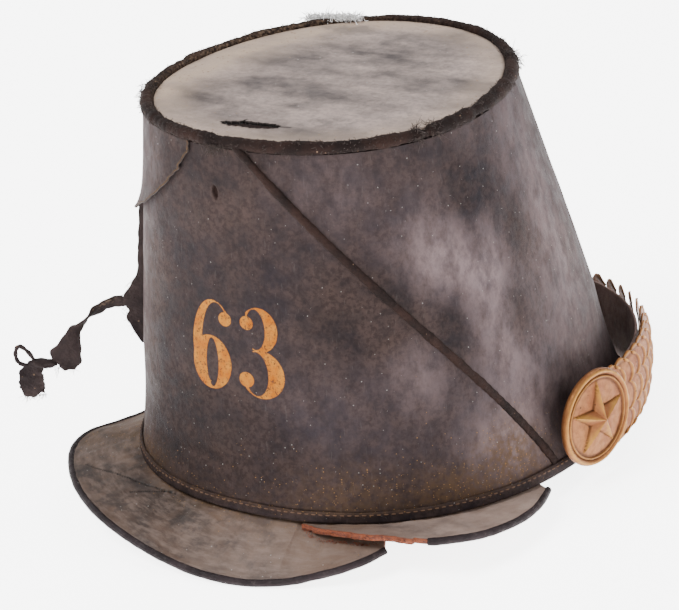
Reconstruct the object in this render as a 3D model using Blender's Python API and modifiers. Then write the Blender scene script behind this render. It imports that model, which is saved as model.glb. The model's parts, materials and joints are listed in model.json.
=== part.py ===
"""A shako of about 1870: a tapering oilcloth crown with a leather visor and a chin strap of brass scales.

Metres, +Z up, the visor towards -Y and the wearer's left towards +X. The hat is drawn on the plane of
its base edge, and then tipped back by the angle at which it rests on its visor and the back of its base.
"""

import math

import bmesh
import bpy
from mathutils import Matrix, Vector

# Crown, on the outer face of its wall
BASE_HALF_WIDTH = 0.0885
BASE_HALF_LENGTH = 0.1003
BASE_SQUARENESS = 2.22
TOP_HALF_WIDTH = 0.0646
TOP_HALF_LENGTH = 0.0716
TOP_SQUARENESS = 2.13
TOP_EGG = 0.09
TOP_FORWARD = 0.0239
TOP_TILT = math.radians(1.3)
CROWN_HEIGHT = 0.1447
WALL_THICKNESS = 0.002
WAIST_DEPTH = 0.0008
WAIST_HEIGHT = 0.045
GAP = 0.0003
ROUND_STEPS = 64

# Edges of the crown
BINDING_WIDTH = 0.0048
BINDING_HEIGHT = 0.0040
DISC_THICKNESS = 0.002
DISC_SINK = 0.0012
HEM_LIFT = 0.0007
HEM_HEIGHT = 0.0042
HEM_THICKNESS = 0.0011

# Torn slot in the top, near its front edge
SLOT_LENGTH = 0.021
SLOT_WIDTH = 0.0030
SLOT_SIDE = -0.003
SLOT_FORWARD = 0.0555

# Seam with its piping cord, from the top's front down to the side
SEAM_FOOT_ANGLE = -10.0
SEAM_SWEEP = 80.0
SEAM_POWER = 1.35
PIPING_WIDTH = 0.0026
PIPING_HEIGHT = 0.0016
PIPING_STEPS = 22
PIPING_REMAINS = 0.25

# Loose oilcloth on the wearer's right
CLOTH_THICKNESS = 0.0012
FLAP_LIFT = 0.0026
STRIP_STAND = 0.0068

# Visor
VISOR_THICKNESS = 0.0020
VISOR_REACH = 0.030
VISOR_DROP = 0.013
VISOR_BEND = 1.15
EDGE_WIDTH = 0.0030
EDGE_HEIGHT = 0.0030
VISOR_STATIONS = 37
TEAR_RAG = 0.0005

# Chin strap and its scales
STRAP_THICKNESS = 0.0018
STRAP_WIDTH = 0.026
STRAP_END_WIDTH = 0.020
STRAP_RISE = 0.0165
STRAP_START = 0.005
STRAP_LAP = 0.009
STRAP_STATIONS = 26
KEEPER_WIDTH = 0.007
KEEPER_THICKNESS = 0.0016
SCALE_COUNT = 17
SCALE_PITCH = 0.0081
SCALE_START = 0.0085
SCALE_LENGTH = 0.0150
SCALE_WIDTH = 0.034
SCALE_END_WIDTH = 0.024
SCALE_THICKNESS = 0.0008
SCALE_DOME = 0.0012

# Rosettes
ROSETTE_ANGLE = -2.7
ROSETTE_STAND = 0.0071
ROSETTE_RISE = 0.0190
ROSETTE_RADIUS = 0.0188
ROSETTE_YAW = math.radians(-10.8)
ROSETTE_THICKNESS = 0.0020
SHANK_RADIUS = 0.003
STAR_RADIUS = 0.0144
STAR_INNER_RADIUS = 0.0050
STAR_HEIGHT = 0.0052

# Cloth tie
TIE_ANGLE = -145.0
TIE_HEIGHT = 0.0608
TIE_REACH = 0.0430
TIE_WIDTH = 0.0110
TIE_THICKNESS = 0.0010
TIE_CORD = 0.0013
TIE_VIEW = math.radians(34.2)

# Loose oilcloth flap: height as a share of CROWN_HEIGHT, front and back angle in degrees,
# lift of the front edge as a share of FLAP_LIFT
FLAP_ROWS = (
    # height, front, back, lift
    (0.955, -103.0, -119.0, 0.10),
    (0.905, -106.5, -130.0, 0.20),
    (0.855, -111.5, -139.0, 0.30),
    (0.810, -117.5, -146.0, 0.42),
    (0.770, -124.0, -151.0, 0.58),
    (0.735, -131.5, -155.0, 0.78),
    (0.700, -139.5, -157.0, 1.00),
)

# Torn seam edge: height as a share of CROWN_HEIGHT, angle in degrees, stand-off as a share of STRIP_STAND
STRIP_ROWS = (
    # height, angle, stand
    (0.680, -142.0, 0.24),
    (0.600, -142.5, 0.26),
    (0.530, -143.0, 0.28),
    (0.490, -143.5, 0.36),
    (0.462, -144.0, 0.74),
    (0.430, -144.5, 0.95),
    (0.395, -145.0, 1.00),
    (0.355, -145.5, 0.84),
    (0.315, -146.0, 0.50),
    (0.280, -146.5, 0.20),
)

# Visor, the wearer's right and the front: angle in degrees, inner edge and reach as shares of
# VISOR_REACH, drop of the rim as a share of VISOR_DROP. Past -77 the inner edge is the tear.
MAIN_ROWS = (
    # angle, inner, reach, drop
    (-166.0, 0.00, 0.10, 0.10),
    (-160.0, 0.00, 0.27, 0.11),
    (-154.0, 0.00, 0.48, 0.02),
    (-148.0, 0.00, 0.73, -0.10),
    (-141.0, 0.00, 0.90, -0.16),
    (-133.0, 0.00, 0.98, -0.13),
    (-124.0, 0.00, 1.03, 0.00),
    (-115.0, 0.00, 1.04, 0.20),
    (-106.0, 0.00, 1.00, 0.50),
    (-98.0, 0.00, 0.98, 0.74),
    (-91.0, 0.00, 0.96, 0.92),
    (-84.0, 0.00, 0.90, 1.00),
    (-78.0, 0.03, 0.83, 0.94),
    (-75.0, 0.12, 0.80, 0.87),
    (-72.0, 0.21, 0.76, 0.77),
    (-69.0, 0.23, 0.73, 0.66),
    (-66.0, 0.26, 0.71, 0.54),
    (-61.0, 0.32, 0.60, 0.37),
    (-57.5, 0.34, 0.47, 0.26),
)

# Visor, the wearer's left, bent up: the same columns. Up to -55 the outer edge is the tear.
BROKEN_ROWS = (
    # angle, inner, reach, drop
    (-75.5, 0.00, 0.07, 0.00),
    (-73.0, 0.00, 0.17, -0.05),
    (-69.0, 0.00, 0.26, -0.10),
    (-65.0, 0.00, 0.35, -0.14),
    (-61.0, 0.00, 0.46, -0.18),
    (-57.0, 0.00, 0.54, -0.21),
    (-54.0, 0.00, 0.66, -0.22),
    (-50.0, 0.00, 0.80, -0.23),
    (-45.0, 0.00, 0.84, -0.23),
    (-40.0, 0.00, 0.80, -0.16),
    (-34.0, 0.00, 0.69, -0.09),
    (-29.0, 0.00, 0.57, -0.03),
    (-24.0, 0.00, 0.43, 0.00),
    (-19.5, 0.00, 0.27, 0.03),
    (-16.0, 0.00, 0.14, 0.05),
)
TORN_RIM_ANGLE = -53.0

# Rosette, from its shank round the rim to the middle: radius as a share of ROSETTE_RADIUS,
# height above the rim's plane as a share of ROSETTE_THICKNESS
ROSETTE_ROWS = (
    # radius, height
    (0.950, -0.90),
    (1.000, -0.35),
    (1.000, 0.10),
    (0.955, 0.55),
    (0.905, 0.35),
    (0.865, 0.80),
    (0.815, 0.50),
    (0.600, 0.85),
    (0.300, 1.10),
    (0.000, 1.20),
)

# Cloth tie: reach and rise as shares of TIE_REACH, width as a share of TIE_WIDTH, turn about its length
TIE_ROWS = (
    # reach, rise, width, turn
    (0.010, -0.030, 0.42, 10.0),
    (0.085, -0.035, 0.44, 20.0),
    (0.180, -0.060, 0.50, 35.0),
    (0.270, -0.125, 0.48, 60.0),
    (0.350, -0.185, 0.42, 82.0),
    (0.415, -0.235, 0.42, 60.0),
    (0.475, -0.310, 0.56, 25.0),
    (0.520, -0.425, 0.82, 8.0),
    (0.555, -0.535, 1.08, 0.0),
    (0.590, -0.640, 0.76, 0.0),
)

# Tail of the tie below its knot: the same columns
TAIL_ROWS = (
    # reach, rise, width, turn
    (0.870, -0.614, 0.66, 6.0),
    (0.880, -0.700, 0.84, 4.0),
    (0.875, -0.790, 0.86, 0.0),
    (0.855, -0.880, 0.66, -6.0),
)

# Small loop of the tie: reach and rise as shares of TIE_REACH
LOOP_ROWS = (
    # reach, rise
    (0.862, -0.550),
    (0.895, -0.450),
    (0.955, -0.400),
    (0.995, -0.440),
    (0.995, -0.520),
    (0.955, -0.570),
    (0.915, -0.582),
)
KNOT_REACH = 0.769
KNOT_RISE = -0.575
KNOT_LENGTH = 0.0068
KNOT_HEIGHT = 0.0042


def superellipse(angle, half_width, half_length, squareness, egg=0.0):
    """A point of a rounded oval, narrower towards the back by egg."""
    cosine = math.cos(angle)
    sine = math.sin(angle)
    x = math.copysign(abs(cosine) ** (2 / squareness), cosine)
    y = math.copysign(abs(sine) ** (2 / squareness), sine)
    return Vector((half_width * x * (1 - egg * y), half_length * y, 0))


def wall_line(angle, share):
    """A point of the straight line that the wall follows from the base oval to the top oval."""
    base = superellipse(angle, BASE_HALF_WIDTH, BASE_HALF_LENGTH, BASE_SQUARENESS)
    top = superellipse(angle, TOP_HALF_WIDTH, TOP_HALF_LENGTH, TOP_SQUARENESS, TOP_EGG)
    rise = CROWN_HEIGHT + top.y * math.sin(TOP_TILT)
    top = Vector((top.x, top.y * math.cos(TOP_TILT) - TOP_FORWARD, rise))
    return base.lerp(top, share)


def outward_at(angle_deg, height):
    """The level direction that points straight out of the wall."""
    share = height / CROWN_HEIGHT
    angle = math.radians(angle_deg)
    step = math.radians(0.5)
    along = wall_line(angle + step, share) - wall_line(angle - step, share)
    return Vector((along.y, -along.x, 0)).normalized()


def crown_point(angle_deg, height, outset=0.0):
    """A point at a level distance from the wall's outer face, which draws in a little above the hem."""
    waist = WAIST_DEPTH * math.sin(math.pi * min(1.0, max(0.0, height / WAIST_HEIGHT)))
    point = wall_line(math.radians(angle_deg), height / CROWN_HEIGHT)
    return point + outward_at(angle_deg, height) * (outset - waist)


def smooth_row(rows, at):
    """The other columns of a table at a value of its first column, along a smooth curve through its rows."""
    ordered = sorted(rows)
    last = len(ordered) - 1
    i = 0
    while i < last - 1 and ordered[i + 1][0] < at:
        i += 1
    start, end = ordered[i], ordered[i + 1]
    before, after = ordered[max(i - 1, 0)], ordered[min(i + 2, last)]
    span = end[0] - start[0]
    t = min(1.0, max(0.0, (at - start[0]) / span))
    found = []
    for column in range(1, len(start)):
        slope_in = (end[column] - before[column]) / (end[0] - before[0]) * span
        slope_out = (after[column] - start[column]) / (after[0] - start[0]) * span
        found.append(
            (2 * t**3 - 3 * t**2 + 1) * start[column]
            + (t**3 - 2 * t**2 + t) * slope_in
            + (3 * t**2 - 2 * t**3) * end[column]
            + (t**3 - t**2) * slope_out
        )
    return found


def spread(start, end, count):
    """Evenly spaced values from start to end."""
    return [start + (end - start) * i / (count - 1) for i in range(count)]


def finish(name, mesh, material):
    """Turns a bmesh into a named object of the hat, smooth but for its sharp edges."""
    mesh.normal_update()
    bmesh.ops.recalc_face_normals(mesh, faces=mesh.faces)
    data = bpy.data.meshes.new(name)
    mesh.to_mesh(data)
    mesh.free()
    data.shade_smooth()
    data.set_sharp_from_angle(angle=math.radians(35))
    data.materials.append(material)
    obj = bpy.data.objects.new(name, data)
    hat_parts.objects.link(obj)
    obj.parent = hat_frame
    return obj


def loft(name, sections, material, closed=False):
    """A solid whose skin joins sections of as many points each; closed joins the last to the first."""
    mesh = bmesh.new()
    rows = [[mesh.verts.new(point) for point in section] for section in sections]
    pairs = list(zip(rows, rows[1:]))
    if closed:
        pairs.append((rows[-1], rows[0]))
    for near, far in pairs:
        for i in range(len(near)):
            j = (i + 1) % len(near)
            mesh.faces.new((near[i], near[j], far[j], far[i]))
    if not closed:
        mesh.faces.new(rows[0])
        mesh.faces.new(tuple(reversed(rows[-1])))
    return finish(name, mesh, material)


def ring(name, profile, material):
    """A band right round the crown. Its profile is a loop of (height, outset) pairs."""
    angles = [360 * i / ROUND_STEPS for i in range(ROUND_STEPS)]
    sections = [[crown_point(a, h, o) for h, o in profile] for a in angles]
    return loft(name, sections, material, closed=True)


def swept(name, path, profile, up, material):
    """A bar along a path. Its profile is a loop of (side, up) pairs, and up gives the upward direction."""
    sections = []
    for i, point in enumerate(path):
        along = path[min(i + 1, len(path) - 1)] - path[max(i - 1, 0)]
        side = along.cross(up[i]).normalized()
        rise = side.cross(along).normalized()
        sections.append([point + side * s + rise * u for s, u in profile])
    return loft(name, sections, material)


def paint(name, color, roughness, metallic=0.0):
    """A plain finish for one kind of surface."""
    material = bpy.data.materials.new(name)
    material.use_nodes = True
    shader = material.node_tree.nodes["Principled BSDF"]
    shader.inputs["Base Color"].default_value = (*color, 1)
    shader.inputs["Roughness"].default_value = roughness
    shader.inputs["Metallic"].default_value = metallic
    return material


def mirrored(point, side):
    """The point on the wearer's left for side 1, and its mirror image for side -1."""
    return Vector((point.x * side, point.y, point.z))


# Crown


def build_wall(material):
    """The tapering wall, open at the base for the head and closed above by the disc."""
    top = CROWN_HEIGHT - BINDING_HEIGHT - GAP
    heights = [top * share for share in (0.0, 0.08, 0.2, 0.32, 0.66, 1.0)]
    profile = [(h, 0.0) for h in heights]
    profile += [(h, -WALL_THICKNESS) for h in reversed(heights)]
    return ring("crown_wall", profile, material)


def top_plane_height(y, drop):
    """Height of the top's slightly tipped plane at a distance y from front to back, less drop."""
    return CROWN_HEIGHT - drop + (y + TOP_FORWARD) * math.tan(TOP_TILT)


def build_top(material, cutters):
    """The flat disc inside the binding, with a ragged slot cut through it."""
    drop = DISC_SINK
    level = CROWN_HEIGHT - drop
    inset = WALL_THICKNESS / 2 + BINDING_WIDTH / 2 + GAP
    rim = [crown_point(360 * i / ROUND_STEPS, level, -inset) for i in range(ROUND_STEPS)]
    sections = []
    for sink in (DISC_THICKNESS, 0.0):
        sections.append([Vector((p.x, p.y, top_plane_height(p.y, drop + sink))) for p in rim])
    disc = loft("crown_top", sections, material)
    cutter = build_slot_cutter(material, drop)
    cutters.objects.link(cutter)
    hat_parts.objects.unlink(cutter)
    cut = disc.modifiers.new("torn_slot", "BOOLEAN")
    cut.operation = "DIFFERENCE"
    cut.object = cutter
    return disc


def build_slot_cutter(material, drop):
    """A long thin lens with a ragged edge, which stands through the disc."""
    points = 14
    outline = []
    for i in range(points):
        angle = 2 * math.pi * i / points
        ragged = 1 + 0.25 * math.sin(5 * angle)
        x = SLOT_SIDE + SLOT_LENGTH / 2 * math.cos(angle)
        y = -TOP_FORWARD - SLOT_FORWARD + SLOT_WIDTH / 2 * math.sin(angle) * ragged
        outline.append((x, y + 0.02 * (x - SLOT_SIDE)))
    sections = []
    for rise in (-2 * DISC_THICKNESS, DISC_THICKNESS):
        sections.append([Vector((x, y, top_plane_height(y, drop) + rise)) for x, y in outline])
    cutter = loft("slot_cutter", sections, material)
    cutter.hide_render = True
    cutter.display_type = "WIRE"
    return cutter


def build_binding(material):
    """The rounded piping that covers the wall's upper edge and the rim of the disc."""
    middle = CROWN_HEIGHT - BINDING_HEIGHT / 2
    profile = []
    for i in range(8):
        angle = math.pi * (0.125 + i / 4)
        height = middle + BINDING_HEIGHT / 2 * math.sin(angle) / math.sin(math.pi * 0.375)
        outset = BINDING_WIDTH / 2 * math.cos(angle) - WALL_THICKNESS / 2
        profile.append((height, outset))
    return ring("top_binding", profile, material)


def build_hem(material):
    """The stitched hem, a thin band that lies on the wall just above its lower edge."""
    crest = HEM_LIFT + HEM_HEIGHT
    profile = [
        (HEM_LIFT, GAP),
        (HEM_LIFT, GAP + HEM_THICKNESS * 0.8),
        (HEM_LIFT + HEM_HEIGHT * 0.4, GAP + HEM_THICKNESS),
        (crest, GAP + HEM_THICKNESS * 0.5),
        (crest, GAP),
    ]
    return ring("base_hem", profile, material)


def seam_angle(height):
    """Where round the crown the seam lies at a height."""
    return SEAM_FOOT_ANGLE - SEAM_SWEEP * (height / CROWN_HEIGHT) ** SEAM_POWER


def build_piping(name, low, high, side, material):
    """The cord over the seam, from one height to another; side -1 is the wearer's right."""
    sections = []
    for height in spread(low, high, PIPING_STEPS):
        step = CROWN_HEIGHT / 200
        ahead = crown_point(seam_angle(height + step), height + step)
        along = ahead - crown_point(seam_angle(height - step), height - step)
        out = outward_at(seam_angle(height), height)
        across = along.cross(out).normalized()
        root = crown_point(seam_angle(height), height, GAP)
        section = []
        for i in range(5):
            turn = math.pi * i / 4
            point = root + across * (PIPING_WIDTH / 2 * math.cos(turn)) + out * (PIPING_HEIGHT * math.sin(turn))
            section.append(mirrored(point, side))
        sections.append(section)
    return loft(name, sections, material)


def build_flap(material):
    """The loose corner of oilcloth, seated along its back edge and lifted along its front edge."""
    sections = []
    for share in spread(FLAP_ROWS[0][0], FLAP_ROWS[-1][0], 10):
        front, back, lift = smooth_row(FLAP_ROWS, share)
        outer = []
        inner = []
        for across in (0.0, 0.15, 0.35, 0.6, 0.8, 1.0):
            angle = front + (back - front) * across
            outset = 2 * GAP + FLAP_LIFT * lift * (1 - across) ** 2
            height = share * CROWN_HEIGHT
            inner.append(crown_point(angle, height, outset))
            outer.append(crown_point(angle, height, outset + CLOTH_THICKNESS))
        sections.append(outer + inner[::-1])
    return loft("torn_flap", sections, material)


def build_strip(material):
    """The torn seam edge, a thin sheet that stands out from the wall."""
    sections = []
    for share in spread(STRIP_ROWS[0][0], STRIP_ROWS[-1][0], 19):
        angle, stand = smooth_row(STRIP_ROWS, share)
        height = share * CROWN_HEIGHT
        root = crown_point(angle, height, GAP)
        out = outward_at(angle, height)
        across = Vector((-out.y, out.x, 0)) * CLOTH_THICKNESS / 2
        reach = out * (STRIP_STAND * stand)
        sections.append([root - across, root + across, root + reach + across, root + reach - across])
    return loft("torn_strip", sections, material)


# Visor


def visor_point(angle, level_reach, rim_drop, rim_reach):
    """A point on the visor's upper face, a level distance out from the base edge."""
    share = level_reach / rim_reach
    return crown_point(angle, 0.0, GAP + level_reach) - Vector((0, 0, rim_drop * share**VISOR_BEND))


def visor_rim(rows, start, end, count):
    """Points along the rim, with the level direction that points out of it."""
    points = []
    for angle in spread(start, end, count):
        inner, reach, drop = smooth_row(rows, angle)
        points.append(visor_point(angle, reach * VISOR_REACH, drop * VISOR_DROP, reach * VISOR_REACH))
    outs = []
    for i in range(count):
        along = points[min(i + 1, count - 1)] - points[max(i - 1, 0)]
        outs.append(Vector((along.y, -along.x, 0)).normalized())
    return points, outs


def rim_margin(angle, bound):
    """How much of the reach the bound edge takes; the tear has none."""
    return EDGE_WIDTH + GAP if bound(angle) else 0.0


def build_visor_sheet(name, rows, start, end, bound, material):
    """One part of the leather visor, between the base edge or the tear and the bound edge or the tear."""
    angles = spread(start, end, VISOR_STATIONS)
    rim, outs = visor_rim(rows, start, end, VISOR_STATIONS)
    sections = []
    for i, angle in enumerate(angles):
        inner, reach, drop = smooth_row(rows, angle)
        rag = TEAR_RAG * math.sin(2.6 * angle)
        root = visor_point(angle, max(0.0, inner * VISOR_REACH + (rag if inner > 0.03 else 0.0)),
                           drop * VISOR_DROP, reach * VISOR_REACH)
        edge = rim[i] - outs[i] * (rim_margin(angle, bound) if bound(angle) else rag)
        upper = []
        for share in (0.0, 0.35, 0.7, 1.0):
            point = root.lerp(edge, share)
            sag = drop * VISOR_DROP * (share - share**VISOR_BEND)
            upper.append(point + Vector((0, 0, sag if inner < 0.03 else 0.0)))
        lower = [point - Vector((0, 0, VISOR_THICKNESS)) for point in upper]
        sections.append(upper + lower[::-1])
    return loft(name, sections, material)


def build_visor_edge(name, rows, start, end, material):
    """The bound edge, a rounded bar along the rim, a little thicker than the leather."""
    rim, outs = visor_rim(rows, start, end, VISOR_STATIONS)
    middle = VISOR_THICKNESS / 2
    path = [p - o * EDGE_WIDTH / 2 - Vector((0, 0, middle)) for p, o in zip(rim, outs)]
    profile = []
    for i in range(6):
        angle = math.pi * i / 3
        profile.append((EDGE_WIDTH / 2 * math.cos(angle), EDGE_HEIGHT / 2 * math.sin(angle) / math.sin(math.pi / 3)))
    return swept(name, path, profile, [Vector((0, 0, 1))] * len(path), material)


def resting_angle():
    """The angle at which the visor's rim and the back of the base edge stand on one level plane."""
    rim, outs = visor_rim(MAIN_ROWS, MAIN_ROWS[0][0], MAIN_ROWS[-1][0], VISOR_STATIONS)
    depth = VISOR_THICKNESS / 2 + EDGE_HEIGHT / 2
    inset = EDGE_WIDTH / 2
    slopes = [(depth - p.z) / (BASE_HALF_LENGTH - p.y - inset) for p in rim]
    return math.atan(max(slopes))


# Chin strap


def strap_line(start_angle, count=240):
    """The strap's inner face in plan, as (distance along, angle) pairs from the rosette round the back."""
    outset = GAP + HEM_THICKNESS + GAP
    line = []
    travelled = 0.0
    before = None
    for angle in spread(start_angle, start_angle + 130, count):
        point = crown_point(angle, 0.0, outset)
        if before is not None:
            travelled += (point - before).length
        before = point
        line.append((travelled, angle))
    return line


def strap_angle(distance):
    """The angle round the crown at a distance along the strap."""
    for (near, low), (far, high) in zip(STRAP_LINE, STRAP_LINE[1:]):
        if far >= distance:
            return low + (high - low) * (distance - near) / (far - near)
    return STRAP_LINE[-1][1]


def strap_face(distance, outset):
    """A point at the strap's middle height, at a level distance out from its inner face."""
    angle = strap_angle(distance)
    point = crown_point(angle, 0.0, GAP + HEM_THICKNESS + GAP + outset)
    return Vector((point.x, point.y, STRAP_RISE))


def strap_width(distance):
    """The strap's width, which tapers from the rosette to the lapped end."""
    share = min(1.0, distance / STRAP_HALF)
    return STRAP_WIDTH + (STRAP_END_WIDTH - STRAP_WIDTH) * share


def lap_outset(distance, side):
    """The right branch steps out over the left one where the two lap."""
    if side > 0:
        return 0.0
    step_length = 0.009
    share = (distance - (STRAP_HALF - STRAP_LAP - step_length)) / step_length
    share = min(1.0, max(0.0, share))
    return (STRAP_THICKNESS + GAP) * share * share * (3 - 2 * share)


def build_strap(name, side, material):
    """One branch of the strap, from its rosette to just past the middle of the back."""
    sections = []
    for distance in spread(STRAP_START, STRAP_HALF + STRAP_LAP, STRAP_STATIONS):
        half = Vector((0, 0, strap_width(distance) / 2))
        inner = strap_face(distance, lap_outset(distance, side))
        outer = strap_face(distance, lap_outset(distance, side) + STRAP_THICKNESS)
        section = [inner - half, outer - half, outer + half, inner + half]
        sections.append([mirrored(point, side) for point in section])
    return loft(name, sections, material)


def build_keeper(material):
    """A plain loop of leather round both branches where they lap."""
    low = STRAP_RISE - STRAP_END_WIDTH / 2 - GAP
    high = STRAP_RISE + STRAP_END_WIDTH / 2 + GAP
    near = -GAP
    far = 2 * STRAP_THICKNESS + 2 * GAP
    base = GAP + HEM_THICKNESS + GAP
    sections = []
    for share in (-0.5, 0.5):
        loops = []
        for grow in (0.0, KEEPER_THICKNESS):
            for outset, height in ((near - grow, low - grow), (far + grow, low - grow),
                                   (far + grow, high + grow), (near - grow, high + grow)):
                foot = crown_point(90, 0.0, base + outset)
                loops.append(Vector((KEEPER_WIDTH * share, foot.y, height)))
        sections.append(loops)
    mesh = bmesh.new()
    rows = [[mesh.verts.new(point) for point in section] for section in sections]
    for i in range(4):
        j = (i + 1) % 4
        for layer in (0, 4):
            mesh.faces.new((rows[0][layer + i], rows[0][layer + j], rows[1][layer + j], rows[1][layer + i]))
        for row in rows:
            mesh.faces.new((row[i], row[j], row[4 + j], row[4 + i]))
    return finish("strap_keeper", mesh, material)


def scale_tip(across):
    """How far the free edge of a scale stands out: three rounded lobes, the middle one longest."""
    lobe = abs(math.cos(1.5 * math.pi * across))
    return 0.72 + 0.28 * (1 - abs(across) ** 2.2) - 0.13 * (1 - lobe**0.6)


def build_scale(name, index, side, material):
    """One brass scale: rooted under its neighbour, domed across, its lobed end lifted clear of the next."""
    share = index / (SCALE_COUNT - 1)
    width = SCALE_WIDTH + (SCALE_END_WIDTH - SCALE_WIDTH) * share
    distance = SCALE_START + index * SCALE_PITCH
    step = SCALE_LENGTH / 4
    root = strap_face(distance, STRAP_THICKNESS + GAP)
    along = (strap_face(distance + step, 0.0) - strap_face(distance - step, 0.0)).normalized()
    out = Vector((along.y, -along.x, 0))
    rise = (SCALE_THICKNESS + 2 * GAP) / SCALE_PITCH
    rows = []
    for layer in (0.0, SCALE_THICKNESS):
        columns = []
        for i in range(13):
            across = -1 + i / 6
            dome = SCALE_DOME * (1 - across**2)
            taper = 0.86 if abs(across) == 1 else 1.0
            for reach in (0.0, SCALE_LENGTH * scale_tip(across)):
                spot = root + along * reach + out * (rise * reach + dome + layer)
                spot += Vector((0, 0, width / 2 * across * (taper if reach == 0.0 else 1.0)))
                columns.append(mirrored(spot, side))
        rows.append(columns)
    mesh = bmesh.new()
    under, over = [[mesh.verts.new(point) for point in row] for row in rows]
    for i in range(12):
        a, b, c, d = 2 * i, 2 * i + 1, 2 * i + 3, 2 * i + 2
        for layer in (under, over):
            mesh.faces.new((layer[a], layer[b], layer[c], layer[d]))
        mesh.faces.new((under[a], over[a], over[d], under[d]))
        mesh.faces.new((under[b], under[c], over[c], over[b]))
    mesh.faces.new((under[0], under[1], over[1], over[0]))
    mesh.faces.new((under[-2], over[-2], over[-1], under[-1]))
    return finish(name, mesh, material)


def shank_reach(centre, facing, sideways):
    """How far back the shank goes to stop a gap short of the leaning wall, all round its end."""
    low = ROSETTE_RISE - SHANK_RADIUS
    spot = crown_point(ROSETTE_ANGLE, low, GAP)
    climb = crown_point(ROSETTE_ANGLE, low + 2 * SHANK_RADIUS, GAP) - spot
    around = Vector((0, 0, 1)).cross(outward_at(ROSETTE_ANGLE, low))
    normal = around.cross(climb).normalized()
    reaches = []
    for i in range(12):
        turn = math.pi * i / 6
        rim = centre + (sideways * math.cos(turn) + Vector((0, 0, math.sin(turn)))) * SHANK_RADIUS
        reaches.append((rim - spot).dot(normal) / facing.dot(normal))
    return min(reaches)


def build_rosette(name, side, material):
    """A turned boss with two raised rings and a star, on a shank that reaches the wall."""
    facing = Vector((math.cos(ROSETTE_YAW), math.sin(ROSETTE_YAW), 0))
    sideways = Vector((0, 0, 1)).cross(facing)
    foot = crown_point(ROSETTE_ANGLE, 0.0)
    centre = Vector((foot.x, foot.y, ROSETTE_RISE)) + facing * ROSETTE_STAND
    reach = shank_reach(centre, facing, sideways)
    profile = [(0.0, -reach), (SHANK_RADIUS, -reach), (SHANK_RADIUS, -ROSETTE_THICKNESS * 0.9)]
    profile += [(ROSETTE_RADIUS * r, ROSETTE_THICKNESS * h) for r, h in ROSETTE_ROWS]
    data = bpy.data.meshes.new(name)
    data.from_pydata([(r, 0, h) for r, h in profile], [(i, i + 1) for i in range(len(profile) - 1)], [])
    turned = bpy.data.objects.new(name + "_turned", data)
    hat_parts.objects.link(turned)
    screw = turned.modifiers.new("turn", "SCREW")
    screw.axis = "Z"
    screw.steps = 24
    screw.render_steps = 24
    screw.use_merge_vertices = True
    screw.merge_threshold = 0.00001
    star = build_star(name + "_star", material)
    join = turned.modifiers.new("star", "BOOLEAN")
    join.operation = "UNION"
    join.object = star
    bpy.context.view_layer.update()
    solid = bpy.data.meshes.new_from_object(turned.evaluated_get(bpy.context.evaluated_depsgraph_get()))
    bpy.data.objects.remove(turned)
    bpy.data.objects.remove(star)
    turn = Matrix((sideways, Vector((0, 0, 1)), facing)).transposed().to_4x4()
    mesh = bmesh.new()
    mesh.from_mesh(solid)
    bpy.data.meshes.remove(solid)
    mesh.transform(Matrix.Translation(centre) @ turn)
    for vert in mesh.verts:
        vert.co = mirrored(vert.co, side)
    return finish(name, mesh, material)


def build_star(name, material):
    """A five-pointed star whose ridges climb to its middle, sunk a little into the boss."""
    mesh = bmesh.new()
    foot = ROSETTE_THICKNESS * 0.55
    outline = []
    for i in range(10):
        angle = math.pi / 2 + math.pi * i / 5
        radius = STAR_RADIUS if i % 2 == 0 else STAR_INNER_RADIUS
        outline.append((radius * math.cos(angle), radius * math.sin(angle)))
    low = [mesh.verts.new((x, y, foot - ROSETTE_THICKNESS / 2)) for x, y in outline]
    brim = [mesh.verts.new((x, y, foot + (0.0006 if i % 2 == 0 else 0.0010))) for i, (x, y) in enumerate(outline)]
    peak = mesh.verts.new((0, 0, STAR_HEIGHT))
    mesh.faces.new(low)
    for i in range(10):
        j = (i + 1) % 10
        mesh.faces.new((low[i], brim[i], brim[j], low[j]))
        mesh.faces.new((brim[i], peak, brim[j]))
    bmesh.ops.recalc_face_normals(mesh, faces=mesh.faces)
    data = bpy.data.meshes.new(name)
    mesh.to_mesh(data)
    mesh.free()
    star = bpy.data.objects.new(name, data)
    hat_parts.objects.link(star)
    return star


# Cloth tie


def tie_place(reach, rise, depth=0.0):
    """A point of the tie, out to the wearer's right of the torn seam edge; depth is towards the front."""
    away = Vector((-math.cos(TIE_VIEW), -math.sin(TIE_VIEW), 0))
    front = Vector((math.sin(TIE_VIEW), -math.cos(TIE_VIEW), 0))
    stand = GAP + STRIP_STAND + GAP
    start = crown_point(TIE_ANGLE, TIE_HEIGHT, stand)
    return start + away * reach + Vector((0, 0, rise)) + front * depth


def build_tie_strip(name, rows, count, material):
    """A thin strip of cloth along the rows of a table, which it follows in order."""
    stations = [(i, *row) for i, row in enumerate(rows)]
    path = []
    for place in spread(0, len(rows) - 1, count):
        reach, rise, width, turn = smooth_row(stations, place)
        path.append((tie_place(reach * TIE_REACH, rise * TIE_REACH), width * TIE_WIDTH, math.radians(turn)))
    front = Vector((math.sin(TIE_VIEW), -math.cos(TIE_VIEW), 0))
    sections = []
    for i, (point, width, turn) in enumerate(path):
        along = (path[min(i + 1, count - 1)][0] - path[max(i - 1, 0)][0]).normalized()
        flat = along.cross(front).normalized()
        across = flat * math.cos(turn) + front * math.sin(turn)
        thick = along.cross(across).normalized() * TIE_THICKNESS / 2
        half = across * width / 2
        sections.append([point - half - thick, point + half - thick, point + half + thick, point - half + thick])
    return loft(name, sections, material)


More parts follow.
